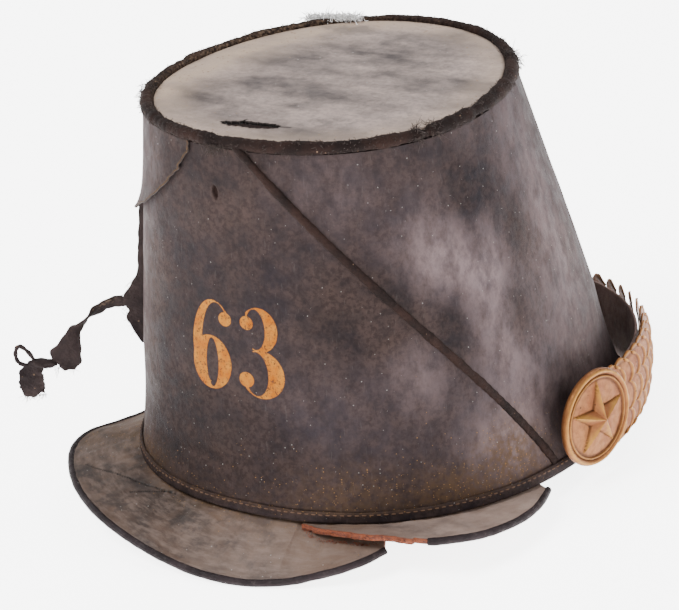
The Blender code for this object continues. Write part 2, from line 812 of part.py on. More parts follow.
def build_knot(material):
    """The knot, a small lump of wound cloth."""
    mesh = bmesh.new()
    bmesh.ops.create_uvsphere(mesh, u_segments=12, v_segments=7, radius=0.5)
    for vert in mesh.verts:
        vert.co.x *= KNOT_LENGTH
        vert.co.y *= KNOT_HEIGHT
        vert.co.z *= KNOT_HEIGHT
    centre = tie_place(KNOT_REACH * TIE_REACH, KNOT_RISE * TIE_REACH)
    mesh.transform(Matrix.Translation(centre) @ Matrix.Rotation(TIE_VIEW, 4, "Z"))
    return finish("tie_knot", mesh, material)


def build_loop(material):
    """The small loop of twisted cloth beyond the knot."""
    curve = bpy.data.curves.new("tie_loop", "CURVE")
    curve.dimensions = "3D"
    curve.bevel_depth = TIE_CORD / 2
    curve.bevel_resolution = 1
    curve.use_fill_caps = True
    spline = curve.splines.new("POLY")
    stations = [(i, *row) for i, row in enumerate(LOOP_ROWS)]
    places = spread(0, len(LOOP_ROWS) - 1, 15)
    spline.points.add(len(places) - 1)
    for spot, place in zip(spline.points, places):
        reach, rise = smooth_row(stations, place)
        spot.co = (*tie_place(reach * TIE_REACH, rise * TIE_REACH), 1)
    curve.materials.append(material)
    loop = bpy.data.objects.new("tie_loop", curve)
    hat_parts.objects.link(loop)
    loop.parent = hat_frame
    return loop


def stand_on_floor():
    """Tips the hat back to rest, and puts the origin under the middle of its box, on the floor."""
    hat_frame.rotation_euler.x = -resting_angle()
    bpy.context.view_layer.update()
    graph = bpy.context.evaluated_depsgraph_get()
    corners = []
    for obj in hat_parts.objects:
        shown = obj.evaluated_get(graph)
        mesh = shown.to_mesh()
        corners += [shown.matrix_world @ vert.co for vert in mesh.vertices]
        shown.to_mesh_clear()
    low = Vector([min(c[i] for c in corners) for i in range(3)])
    high = Vector([max(c[i] for c in corners) for i in range(3)])
    hat_frame.location = (-(low.x + high.x) / 2, -(low.y + high.y) / 2, -low.z)


for old in list(bpy.data.objects):
    bpy.data.objects.remove(old)

hat_parts = bpy.data.collections.new("shako_hat")
slot_cutters = bpy.data.collections.new("cutters")
bpy.context.scene.collection.children.link(hat_parts)
bpy.context.scene.collection.children.link(slot_cutters)
hat_frame = bpy.data.objects.new("hat_frame", None)
bpy.context.scene.collection.objects.link(hat_frame)

oilcloth = paint("oilcloth", (0.065, 0.058, 0.060), 0.55)
top_cloth = paint("top_cloth", (0.190, 0.165, 0.160), 0.70)
brown_cord = paint("brown_cord", (0.045, 0.026, 0.020), 0.85)
visor_leather = paint("visor_leather", (0.150, 0.120, 0.105), 0.60)
edge_leather = paint("edge_leather", (0.045, 0.040, 0.045), 0.50)
strap_leather = paint("strap_leather", (0.120, 0.095, 0.095), 0.65)
brass = paint("brass", (0.420, 0.240, 0.130), 0.45, 0.8)
tie_cloth = paint("tie_cloth", (0.050, 0.038, 0.038), 0.90)

STRAP_LINE = strap_line(ROSETTE_ANGLE)
STRAP_HALF = next(distance for distance, angle in STRAP_LINE if angle >= 90)

build_wall(oilcloth)
build_top(top_cloth, slot_cutters)
build_binding(brown_cord)
build_hem(oilcloth)
wall_top = CROWN_HEIGHT - BINDING_HEIGHT - GAP
piping_foot = HEM_LIFT + HEM_HEIGHT + 2 * GAP
piping_crest = wall_top - PIPING_WIDTH / 2
build_piping("side_piping_left", piping_foot, piping_crest, 1, brown_cord)
build_piping("side_piping_right", piping_foot, PIPING_REMAINS * CROWN_HEIGHT, -1, brown_cord)
build_flap(oilcloth)
build_strip(tie_cloth)

build_visor_sheet("visor_main_part", MAIN_ROWS, -163.0, -58.5, lambda angle: True, visor_leather)
build_visor_edge("visor_binding_main", MAIN_ROWS, MAIN_ROWS[0][0], MAIN_ROWS[-1][0], edge_leather)
build_visor_sheet("visor_broken_part", BROKEN_ROWS, BROKEN_ROWS[0][0], -18.0,
                  lambda angle: angle > TORN_RIM_ANGLE, visor_leather)
build_visor_edge("visor_binding_broken", BROKEN_ROWS, TORN_RIM_ANGLE + 2.5, BROKEN_ROWS[-1][0], edge_leather)

for side_name, side_sign in (("left", 1), ("right", -1)):
    build_strap("chin_strap_" + side_name, side_sign, strap_leather)
    build_rosette("rosette_" + side_name, side_sign, brass)
    for number in range(SCALE_COUNT):
        build_scale(f"scale_{side_name}_{number + 1:02d}", number, side_sign, brass)
build_keeper(strap_leather)

build_tie_strip("tie_ribbon", TIE_ROWS, 22, tie_cloth)
build_tie_strip("tie_tail", TAIL_ROWS, 6, tie_cloth)
build_knot(tie_cloth)
build_loop(tie_cloth)

stand_on_floor()
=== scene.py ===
# %% [markdown]
# # A worn shako of about 1870
# The hat is a stiff tapering crown covered in oilcloth, with a sunk flat top, a leather visor that has
# torn in two, a leather chin strap sheathed in lobed brass scales, and a strip of dark cloth that hangs
# out of a torn seam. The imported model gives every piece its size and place. This lesson dresses it.

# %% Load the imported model
import json
import math

import bmesh
import bpy
import numpy as np
from mathutils import Matrix, Vector


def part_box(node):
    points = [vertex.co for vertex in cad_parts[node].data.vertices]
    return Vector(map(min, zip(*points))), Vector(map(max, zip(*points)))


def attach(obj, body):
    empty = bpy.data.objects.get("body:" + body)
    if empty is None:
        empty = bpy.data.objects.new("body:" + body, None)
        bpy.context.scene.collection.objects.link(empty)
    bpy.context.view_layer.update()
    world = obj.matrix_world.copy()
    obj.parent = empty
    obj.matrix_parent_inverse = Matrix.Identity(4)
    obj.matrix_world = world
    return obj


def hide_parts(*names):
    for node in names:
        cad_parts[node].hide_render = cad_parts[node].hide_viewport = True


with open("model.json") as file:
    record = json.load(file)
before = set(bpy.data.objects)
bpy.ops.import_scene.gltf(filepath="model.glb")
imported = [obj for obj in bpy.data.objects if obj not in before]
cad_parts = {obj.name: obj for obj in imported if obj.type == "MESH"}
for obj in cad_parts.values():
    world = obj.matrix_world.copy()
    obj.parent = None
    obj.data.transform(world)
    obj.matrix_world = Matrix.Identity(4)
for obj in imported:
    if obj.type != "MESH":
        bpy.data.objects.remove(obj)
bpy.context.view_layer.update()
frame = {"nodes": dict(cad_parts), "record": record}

nodes = frame["nodes"]

# %% [markdown]
# ## The hat's own frame
# A hat maker draws a crown standing on its base edge. On the table it tips back a little, because the
# visor's rim holds the front up. So the shapes below are worked out on the base edge's own plane, with
# the front towards -Y, the wearer's left towards +X and angles counted from there, and one function
# carries them to the model's place.

# %% Sizes of the crown
MM = 0.001
BASE_HALF_WIDTH = 88.5 * MM
BASE_HALF_LENGTH = 100.3 * MM
BASE_SQUARENESS = 2.22
TOP_HALF_WIDTH = 64.6 * MM
TOP_HALF_LENGTH = 71.6 * MM
TOP_SQUARENESS = 2.13
TOP_EGG = 0.09
TOP_FORWARD = 23.9 * MM
TOP_TILT = math.radians(1.3)
CROWN_HEIGHT = 144.7 * MM
WALL = 2.0 * MM
TEAR_DEPTH = 1.1 * MM
WAIST_DEPTH = 0.8 * MM
WAIST_HEIGHT = 45 * MM
GAP = 0.3 * MM
BINDING_WIDTH = 4.8 * MM
BINDING_HEIGHT = 4.0 * MM
DISC_SINK = 1.2 * MM
HEM_THICKNESS = 1.1 * MM


def oval(angle, half_width, half_length, squareness, egg=0.0):
    """A rounded oval: each of cosine and sine is raised to 2 / squareness, and egg narrows the back."""
    cosine = np.cos(angle)
    sine = np.sin(angle)
    x = np.sign(cosine) * np.abs(cosine) ** (2 / squareness)
    y = np.sign(sine) * np.abs(sine) ** (2 / squareness)
    return half_width * x * (1 - egg * y), half_length * y


def wall_line(degrees, share):
    """The wall's straight line from the base oval, share 0, to the tipped top oval, share 1."""
    angle = np.radians(degrees)
    base_x, base_y = oval(angle, BASE_HALF_WIDTH, BASE_HALF_LENGTH, BASE_SQUARENESS)
    top_x, top_y = oval(angle, TOP_HALF_WIDTH, TOP_HALF_LENGTH, TOP_SQUARENESS, TOP_EGG)
    rise = CROWN_HEIGHT + top_y * math.sin(TOP_TILT)
    top_y = top_y * math.cos(TOP_TILT) - TOP_FORWARD
    x = base_x + (top_x - base_x) * share
    y = base_y + (top_y - base_y) * share
    return np.stack(np.broadcast_arrays(x, y, rise * share), axis=-1)


def outward(degrees, height):
    """The level direction out of the wall, a quarter turn from the step between two near angles."""
    share = height / CROWN_HEIGHT
    step = wall_line(degrees + 0.5, share) - wall_line(degrees - 0.5, share)
    out = np.stack([step[..., 1], -step[..., 0], 0 * step[..., 0]], axis=-1)
    return out / np.linalg.norm(out, axis=-1, keepdims=True)


def crown(degrees, height, outset=0.0):
    """A point a level distance outset from the wall, which draws in by half a sine wave above the hem."""
    degrees, height, outset = np.broadcast_arrays(np.asarray(degrees, float), height, outset)
    waist = WAIST_DEPTH * np.sin(np.pi * np.clip(height / WAIST_HEIGHT, 0, 1))
    point = wall_line(degrees, height / CROWN_HEIGHT)
    return point + outward(degrees, height) * (outset - waist)[..., None]


top_axis = frame["record"]["mounts"][0]["axis"]
REST_TILT = math.atan2(top_axis[1], top_axis[2]) + TOP_TILT
rest_turn = np.array(Matrix.Rotation(-REST_TILT, 3, "X"))
ring_angles = np.arange(64) * 360 / 64
wall_top = CROWN_HEIGHT - BINDING_HEIGHT - GAP
wall_rings = np.concatenate([crown(ring_angles, 0.0), crown(ring_angles, wall_top)]) @ rest_turn.T
hat_place = np.array(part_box("crown_wall")[0]) - wall_rings.min(axis=0)


def to_model(points):
    """Points of the hat's own frame, tipped back to rest and moved to where the model's crown is."""
    return points @ rest_turn.T + hat_place


print("rests tipped by", round(math.degrees(REST_TILT), 3), "degrees")
left_over = wall_rings.max(axis=0) + hat_place - np.array(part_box("crown_wall")[1])
print("crown misses the model by", left_over.round(6))

# %% [markdown]
# ## Meshes from arrays
# Every soft or worn surface here is a grid of points worked out at once with numpy, and joined in
# quads. A grid may close on itself round or along. Its UV map is in metres, so that a weave keeps its
# size, and it may carry attributes, numbers at each point that a material reads.

# %% Helpers that make a mesh
SHARP_EDGE = math.radians(40)
MERGE_DISTANCE = 0.002 * MM


def corners_of(grid):
    """What a grid holds at the four corners of each of its quads."""
    return np.stack([grid[:-1, :-1], grid[:-1, 1:], grid[1:, 1:], grid[1:, :-1]], axis=2)


def quads_of(rows, columns, around=False, along=False):
    """The corner numbers of a grid's quads, closing its columns if around and its rows if along."""
    index = np.arange(rows * columns).reshape(rows, columns)
    if along:
        index = np.vstack([index, index[:1]])
    if around:
        index = np.hstack([index, index[:, :1]])
    return corners_of(index).reshape(-1, 4)


def pairs(first, second):
    """Two coordinates, spread over one grid, as its last axis."""
    return np.stack(np.broadcast_arrays(first, second), axis=-1)


def make_piece(name, points, faces, materials, attributes=None, uv=None):
    """An object from points in the hat's own frame, and faces with any equal number of corners."""
    mesh = bpy.data.meshes.new(name)
    mesh.vertices.add(len(points))
    mesh.vertices.foreach_set("co", to_model(points).astype(np.float32).ravel())
    mesh.loops.add(faces.size)
    mesh.loops.foreach_set("vertex_index", faces.astype(np.int32).ravel())
    mesh.polygons.add(len(faces))
    mesh.polygons.foreach_set("loop_start", np.arange(len(faces), dtype=np.int32) * faces.shape[1])
    if uv is not None:
        mesh.uv_layers.new(name="cloth").data.foreach_set("uv", uv.astype(np.float32).ravel())
    for label, values in (attributes or {}).items():
        layer = mesh.attributes.new(label, "FLOAT", "POINT")
        layer.data.foreach_set("value", np.asarray(values, np.float32).ravel())
    mesh.update(calc_edges=True)
    mesh.shade_smooth()
    mesh.set_sharp_from_angle(angle=SHARP_EDGE)
    for material in materials:
        mesh.materials.append(material)
    piece = bpy.data.objects.new(name, mesh)
    bpy.context.scene.collection.objects.link(piece)
    return piece


def make_sheet(name, grid, materials, around=False, along=False, flip=False, keep=None, **more):
    """A grid of points as one surface. To tear a hole, keep says by their middles which quads stay."""
    rows, columns = grid.shape[:2]
    faces = quads_of(rows, columns, around, along)
    steps = np.linalg.norm(np.roll(grid, -1, axis=1) - grid, axis=-1).mean(axis=0)
    u = np.concatenate([[0], np.cumsum(steps)])[None, : columns + around]
    steps = np.linalg.norm(np.roll(grid, -1, axis=0) - grid, axis=-1).mean(axis=1)
    v = np.concatenate([[0], np.cumsum(steps)])[: rows + along, None]
    uv = corners_of(pairs(u, v)).reshape(-1, 4, 2)
    if flip:
        faces = faces[:, ::-1]
        uv = uv[:, ::-1]
    if keep is not None:
        kept = keep(grid.reshape(-1, 3)[faces].mean(axis=1))
        faces = faces[kept]
        uv = uv[kept]
    return make_piece(name, grid.reshape(-1, 3), faces, materials, uv=uv, **more)


def make_ring(name, grid, material, attributes):
    """A closed skin that runs round the hat: for each angle a section that closes on itself."""
    return make_sheet(name, grid, [material], around=True, along=True, flip=True, attributes=attributes)


def weld(piece, turn=True):
    """Merges points that coincide, as at a closed end, and turns a closed skin's faces outwards."""
    mesh = bmesh.new()
    mesh.from_mesh(piece.data)
    bmesh.ops.remove_doubles(mesh, verts=mesh.verts, dist=MERGE_DISTANCE)
    bmesh.ops.dissolve_degenerate(mesh, edges=mesh.edges, dist=MERGE_DISTANCE / 2)
    loose = [vert for vert in mesh.verts if not vert.link_faces]
    bmesh.ops.delete(mesh, geom=loose, context="VERTS")
    if turn:
        bmesh.ops.recalc_face_normals(mesh, faces=mesh.faces)
    mesh.to_mesh(piece.data)
    mesh.free()
    return piece


def thicken(piece, thickness, offset=-1.0, rim_slot=0):
    """Gives a sheet its real thickness with a Solidify modifier, and its cut edge another material."""
    wall = piece.modifiers.new("thickness", "SOLIDIFY")
    wall.thickness = thickness
    wall.offset = offset
    wall.use_even_offset = False
    wall.material_offset_rim = rim_slot
    return piece


def ripples(points, seed, shortest, longest, count=12):
    """Smooth bumps: cosine waves of seeded directions and lengths, summed, over the root of their count."""
    rng = np.random.default_rng(seed)
    turn = rng.normal(size=(count, points.shape[-1]))
    turn /= np.linalg.norm(turn, axis=1, keepdims=True)
    length = np.exp(rng.uniform(np.log(shortest), np.log(longest), count))
    waves = points @ (turn * (2 * np.pi / length)[:, None]).T + rng.uniform(0, 2 * np.pi, count)
    return np.cos(waves).sum(axis=-1) / math.sqrt(count)


def rise_between(value, low, high):
    """Nought below low, one above high, and a smooth step between them."""
    share = np.clip((value - low) / (high - low), 0, 1)
    return share * share * (3 - 2 * share)


def hump(value, middle, spread):
    """A bell curve of height one."""
    return np.exp(-(((value - middle) / spread) ** 2))


def follow(rows, at):
    """The other columns of a short table along its first: cubic stretches that meet without a corner."""
    table = np.array(sorted(rows), float)
    places = table[:, 0]
    values = table[:, 1:]
    last = len(places) - 1
    at = np.atleast_1d(np.asarray(at, float))
    i = np.clip(np.searchsorted(places, at, side="left") - 1, 0, last - 1)
    before = np.maximum(i - 1, 0)
    after = np.minimum(i + 2, last)
    span = places[i + 1] - places[i]
    t = np.clip((at - places[i]) / span, 0, 1)[:, None]
    slope_in = (values[i + 1] - values[before]) * (span / (places[i + 1] - places[before]))[:, None]
    slope_out = (values[after] - values[i]) * (span / (places[after] - places[i]))[:, None]
    curve = (2 * t**3 - 3 * t**2 + 1) * values[i] + (t**3 - 2 * t**2 + t) * slope_in
    return curve + (3 * t**2 - 2 * t**3) * values[i + 1] + (t**3 - t**2) * slope_out


def lengths(points):
    """How far along a line of points each of them lies."""
    return np.concatenate([[0], np.cumsum(np.linalg.norm(np.diff(points, axis=0), axis=1))])


def near_angle(degrees, angle):
    """How many degrees lie between two angles, the short way round."""
    return np.abs((degrees - angle + 180) % 360 - 180)


def graded(start, end, coarse, fine, fine_start, fine_end):
    """Places from start to end, a coarse step apart, and a fine one between two of them."""
    stretches = ((start, fine_start, coarse), (fine_start, fine_end, fine), (fine_end, end, coarse))
    runs = []
    for low, high, step in stretches:
        if high > low:
            runs.append(np.linspace(low, high, max(1, round((high - low) / step)), endpoint=False))
    return np.concatenate([*runs, [end]])


# %% [markdown]
# ## Camera
# The camera stands where the photograph's did: far off, a little above, and turned a few degrees about
# its own axis. A long lens keeps the crown's taper from exaggerating.

# %% Camera
VIEW_AZIMUTH = math.radians(34.21)
VIEW_ELEVATION = math.radians(24.74)
VIEW_ROLL = math.radians(-5.5)
VIEW_DISTANCE = 1.2435
VIEW_LENS = 174.3
VIEW_TIP = math.radians(3.58)
VIEW_AIM = Vector((-4.65 * MM, -20.08 * MM, 54.05 * MM))

cos_high = math.cos(VIEW_ELEVATION)
view_back = Vector(
    (math.sin(VIEW_AZIMUTH) * cos_high, -math.cos(VIEW_AZIMUTH) * cos_high, math.sin(VIEW_ELEVATION))
)
view_side = Vector((math.cos(VIEW_AZIMUTH), math.sin(VIEW_AZIMUTH), 0))
view_up = view_back.cross(view_side)
rolled_side = view_side * math.cos(VIEW_ROLL) + view_up * math.sin(VIEW_ROLL)
rolled_up = view_up * math.cos(VIEW_ROLL) - view_side * math.sin(VIEW_ROLL)
view_turn = Matrix.Rotation(VIEW_TIP - REST_TILT, 4, "X")
view_axes = Matrix((rolled_side, rolled_up, view_back)).transposed().to_4x4()
view_axes.translation = VIEW_AIM + view_back * VIEW_DISTANCE
camera_data = bpy.data.cameras.new("camera")
camera_data.lens = VIEW_LENS
camera_data.sensor_width = 36
camera_data.clip_end = 20
camera = bpy.data.objects.new("camera", camera_data)
camera.matrix_world = Matrix.Translation(Vector(hat_place)) @ view_turn @ view_axes
bpy.context.scene.collection.objects.link(camera)
bpy.context.scene.camera = camera
print("camera at", [round(c, 3) for c in camera.matrix_world.translation])

# %% [markdown]
# ### Floor and lights
# The hat lies on white paper, which glows so that it shows as white as in the photograph. A broad light
# from the upper left does most of the work. Weaker ones stand to both sides, behind, and low in front.

# %% Floor and lights
FLOOR_SIDE = 8.0
FLOOR_GLOW = 4.8
ROOM_LIGHT = 0.5
LIGHT_AIM_HEIGHT = 60 * MM

# Name, azimuth from the front and elevation in degrees, distance and side in metres, power in watts
LIGHT_ROWS = (
    ("key_light", -30, 55, 2.0, 1.0, 70),
    ("right_light", 105, 30, 2.0, 1.2, 30),
    ("left_light", -105, 28, 2.0, 1.0, 18),
    ("back_light", 185, 50, 2.2, 1.2, 30),
    ("front_fill", 62, 14, 2.4, 0.8, 14),
)


def soft_light(name, azimuth, elevation, distance, size, power):
    """A square area light on a sphere round the hat, turned to face it."""
    data = bpy.data.lights.new(name, "AREA")
    data.size = size
    data.energy = power
    light = bpy.data.objects.new(name, data)
    a = math.radians(azimuth)
    e = math.radians(elevation)
    spot = Vector((math.sin(a) * math.cos(e), -math.cos(a) * math.cos(e), math.sin(e))) * distance
    light.location = spot + Vector((0, 0, LIGHT_AIM_HEIGHT))
    light.rotation_euler = (-spot).to_track_quat("-Z", "Y").to_euler()
    bpy.context.scene.collection.objects.link(light)


floor_mesh = bpy.data.meshes.new("floor")
floor_corners = np.array([(-1, -1, 0), (1, -1, 0), (1, 1, 0), (-1, 1, 0)]) * FLOOR_SIDE / 2
floor_mesh.from_pydata(floor_corners.tolist(), [], [(0, 1, 2, 3)])
floor = bpy.data.objects.new("floor", floor_mesh)
bpy.context.scene.collection.objects.link(floor)
floor_paper = bpy.data.materials.new("floor_paper")
floor_paper.use_nodes = True
floor_shader = floor_paper.node_tree.nodes["Principled BSDF"]
floor_shader.inputs["Base Color"].default_value = (0.93, 0.93, 0.93, 1)
floor_shader.inputs["Roughness"].default_value = 0.9
floor_shader.inputs["Emission Color"].default_value = (1, 1, 1, 1)
floor_shader.inputs["Emission Strength"].default_value = FLOOR_GLOW
floor_mesh.materials.append(floor_paper)

for row in LIGHT_ROWS:
    soft_light(*row)
world = bpy.data.worlds.new("studio")
world.use_nodes = True
room = world.node_tree.nodes["Background"].inputs
room["Color"].default_value = (1, 1, 1, 1)
room["Strength"].default_value = ROOM_LIGHT
bpy.context.scene.world = world
print(len(LIGHT_ROWS), "soft lights and a white room")

# %% [markdown]
# ## Finishes
# A worn surface is several things at once: its own colour in uneven patches, a haze where it is rubbed
# with painted sheen at the sides, dust that gathers low down, specks, and a grain that catches the light.
# The materials below mix these in their own amounts. Each step of the mixing is a node or two, so small
# functions make them.

# %% Helpers for nodes

# How much darker than its display value a colour is, since the paper is lit until it shows white
PIGMENT = 0.28


def colour(red, green, blue):
    """A display colour of 0 to 255 made linear, and darkened to show so under lights that whiten paper."""
    return (*(PIGMENT * ((c / 255 + 0.055) / 1.055) ** 2.4 for c in (red, green, blue)), 1)


def add(tree, kind, **settings):
    """A new shader node with its settings."""
    made = tree.nodes.new("ShaderNode" + kind)
    for key, value in settings.items():
        setattr(made, key, value)
    return made


def feed(tree, socket, value):
    """Links a socket into this one, or else sets this one's own value."""
    if isinstance(value, bpy.types.NodeSocket):
        tree.links.new(value, socket)
    else:
        socket.default_value = value


def calc(tree, operation, first, second):
    """One step of arithmetic, held between 0 and 1."""
    step = add(tree, "Math", operation=operation, use_clamp=True)
    feed(tree, step.inputs[0], first)
    feed(tree, step.inputs[1], second)
    return step.outputs[0]


def times(tree, first, second):
    """The product of two numbers, held between 0 and 1."""
    return calc(tree, "MULTIPLY", first, second)


def product(tree, first, second):
    """The product of two numbers of any size."""
    step = add(tree, "Math", operation="MULTIPLY")
    feed(tree, step.inputs[0], first)
    feed(tree, step.inputs[1], second)
    return step.outputs[0]


def product_and_sum(tree, first, second, third):
    """The product of two numbers, and a third added to it."""
    step = add(tree, "Math", operation="MULTIPLY_ADD")
    for number, given in enumerate((first, second, third)):
        feed(tree, step.inputs[number], given)
    return step.outputs[0]


def mix(tree, amount, first, second):
    """Two colours mixed by an amount."""
    step = add(tree, "Mix", data_type="RGBA")
    feed(tree, step.inputs[0], amount)
    feed(tree, step.inputs[6], first)
    feed(tree, step.inputs[7], second)
    return step.outputs[2]


def between(tree, value, low, high, to_low=0.0, to_high=1.0):
    """A smooth step of a value from low to high, into another range."""
    step = add(tree, "MapRange", interpolation_type="SMOOTHSTEP")
    for number, given in enumerate((value, low, high, to_low, to_high)):
        feed(tree, step.inputs[number], given)
    return step.outputs[0]


def noise(tree, place, scale, detail=4.0, roughness=0.55):
    """Noise at so many features a metre."""
    step = add(tree, "TexNoise")
    feed(tree, step.inputs["Vector"], place)
    feed(tree, step.inputs["Scale"], scale)
    step.inputs["Detail"].default_value = detail
    step.inputs["Roughness"].default_value = roughness
    return step.outputs["Fac"]


def stretched(tree, place, factors):
    """A place scaled along each axis, so that a pattern becomes streaks."""
    step = add(tree, "VectorMath", operation="MULTIPLY")
    feed(tree, step.inputs[0], place)
    step.inputs[1].default_value = factors
    return step.outputs[0]


def effect(name, inputs, outputs):
    """An empty node group with named sockets, and the ends to build it between."""
    group = bpy.data.node_groups.new(name, "ShaderNodeTree")
    for label, kind in inputs:
        group.interface.new_socket(name=label, in_out="INPUT", socket_type="NodeSocket" + kind)
    for label, kind in outputs:
        group.interface.new_socket(name=label, in_out="OUTPUT", socket_type="NodeSocket" + kind)
    enter = group.nodes.new("NodeGroupInput")
    leave = group.nodes.new("NodeGroupOutput")
    return group, enter.outputs, leave.inputs


def use(tree, group, **inputs):
    """A node group placed in a material, fed by the names of its inputs."""
    placed = add(tree, "Group")
    placed.node_tree = group
    for label, value in inputs.items():
        feed(tree, placed.inputs[label], value)
    return placed.outputs


# %% [markdown]
# ### Effects
# Four effects recur: uneven patches, specks, a plain weave and scratches. Each is a node group with named
# sockets, built once, so that a material only says where it lies, how fine it is and how much of it.

# %% Effects that several finishes share


def make_patches():
    """Uneven patches: a smooth step of noise at a broad size, and another at a sixth of it."""
    group, given, out = effect(
        "patches", [("Place", "Vector"), ("Scale", "Float")], [("Patch", "Float"), ("Fine", "Float")]
    )
    broad = noise(group, given["Place"], given["Scale"], 5.0, 0.6)
    small = noise(group, given["Place"], product(group, given["Scale"], 6.0), 5.0, 0.65)
    feed(group, out["Patch"], between(group, broad, 0.36, 0.64))
    feed(group, out["Fine"], between(group, small, 0.34, 0.66))
    return group


def make_specks():
    """Specks: a cell's middle is one, of a chance size, if the cell's chance number passes a limit."""
    group, given, out = effect(
        "specks", [("Place", "Vector"), ("Scale", "Float"), ("Share", "Float")], [("Mask", "Float")]
    )
    cells = add(group, "TexVoronoi")
    feed(group, cells.inputs["Vector"], given["Place"])
    feed(group, cells.inputs["Scale"], given["Scale"])
    chance = add(group, "SeparateColor")
    feed(group, chance.inputs[0], cells.outputs["Color"])
    size = between(group, chance.outputs[1], 0.0, 1.0, 0.10, 0.34)
    near = calc(group, "LESS_THAN", cells.outputs["Distance"], size)
    picked = calc(group, "LESS_THAN", chance.outputs[0], given["Share"])
    feed(group, out["Mask"], times(group, near, picked))
    return group


def make_weave():
    """Plain weave: threads along U lift where threads along V dip, as the product of two sine waves."""
    group, given, out = effect("weave", [("Cloth", "Vector"), ("Threads", "Float")], [("Height", "Float")])
    parts = add(group, "SeparateXYZ")
    feed(group, parts.inputs[0], given["Cloth"])
    waves = []
    for axis in (0, 1):
        turns = product(group, parts.outputs[axis], given["Threads"])
        wave = add(group, "Math", operation="SINE")
        feed(group, wave.inputs[0], product(group, turns, math.pi))
        waves.append(wave.outputs[0])
    feed(group, out["Height"], product_and_sum(group, *waves, 0.5))
    return group


def make_scratches():
    """Scratches: noise of a place stretched along one way, kept only where it peaks."""
    group, given, out = effect(
        "scratches", [("Place", "Vector"), ("Scale", "Float"), ("Amount", "Float")], [("Mask", "Float")]
    )
    streak = noise(group, given["Place"], given["Scale"], 2.0, 0.5)
    line = between(group, streak, 0.66, 0.71)
    feed(group, out["Mask"], times(group, line, given["Amount"]))
    return group


patches = make_patches()
specks = make_specks()
weave = make_weave()
scratches = make_scratches()


def start_material(name):
    """A material, its node tree, and two sockets: a place on the hat, and one on the cloth's own map."""
    material = bpy.data.materials.new(name)
    material.use_nodes = True
    places = add(material.node_tree, "TexCoord").outputs
    return material, material.node_tree, places["Object"], places["UV"]


def finish(tree, base, rough, shine, normal=None):
    """Links what a material has mixed to its shader, and gives the shader back."""
    shader = tree.nodes["Principled BSDF"]
    feed(tree, shader.inputs["Base Color"], base)
    feed(tree, shader.inputs["Roughness"], rough)
    feed(tree, shader.inputs["Specular IOR Level"], shine)
    if normal is not None:
        feed(tree, shader.inputs["Normal"], normal)
    return shader


def speckle(tree, place, base, scale, share, tint):
    """A colour with specks of another scattered over it."""
    spots = use(tree, specks, Place=place, Scale=scale, Share=share)
    return mix(tree, spots["Mask"], base, tint)


def attribute(tree, name):
    """A number that the piece carries at each point."""
    return add(tree, "Attribute", attribute_name=name).outputs["Fac"]


def bump(tree, height, distance, strength=1.0, onto=None):
    """A normal that leans with a height, which is so many metres high at one."""
    step = add(tree, "Bump")
    step.inputs["Strength"].default_value = strength
    step.inputs["Distance"].default_value = distance
    feed(tree, step.inputs["Height"], height)
    if onto is not None:
        feed(tree, step.inputs["Normal"], onto)
    return step.outputs[0]


print("effects:", [group.name for group in bpy.data.node_groups])

# %% [markdown]
# ### Oilcloth
# Cotton painted with boiled oil and lamp black. It has aged to a charcoal that is bluish in places and
# brown in others, with a pale bloom where hands and the sun have been and painted sheen where its sides
# catch the light, and ochre with dust along the hem. The regiment's figures were painted on in gold. They
# are drawn from the attribute number_edge, the distance from the figures' outline, so that their edge
# stays sharp and can wear.

# %% Oilcloth and gold paint


def gold_left(tree, place):
    """One where the figures' paint still holds: inside a ragged outline, but for scratches and chips."""
    ragged = noise(tree, place, 900.0, 3.0, 0.7)
    edge = product_and_sum(tree, ragged, 0.55, attribute(tree, "number_edge"))
    painted = between(tree, edge, 0.20, 0.42)
    streaks = stretched(tree, place, (9.0, 9.0, 1.0))
    flaking = use(tree, scratches, Place=streaks, Scale=300.0, Amount=1.0)
    chips = between(tree, noise(tree, place, 900.0, 5.0, 0.75), 0.53, 0.60)
    lost = calc(tree, "MAXIMUM", times(tree, flaking["Mask"], 0.6), times(tree, chips, 0.75))
    return times(tree, painted, calc(tree, "SUBTRACT", 1.0, lost))


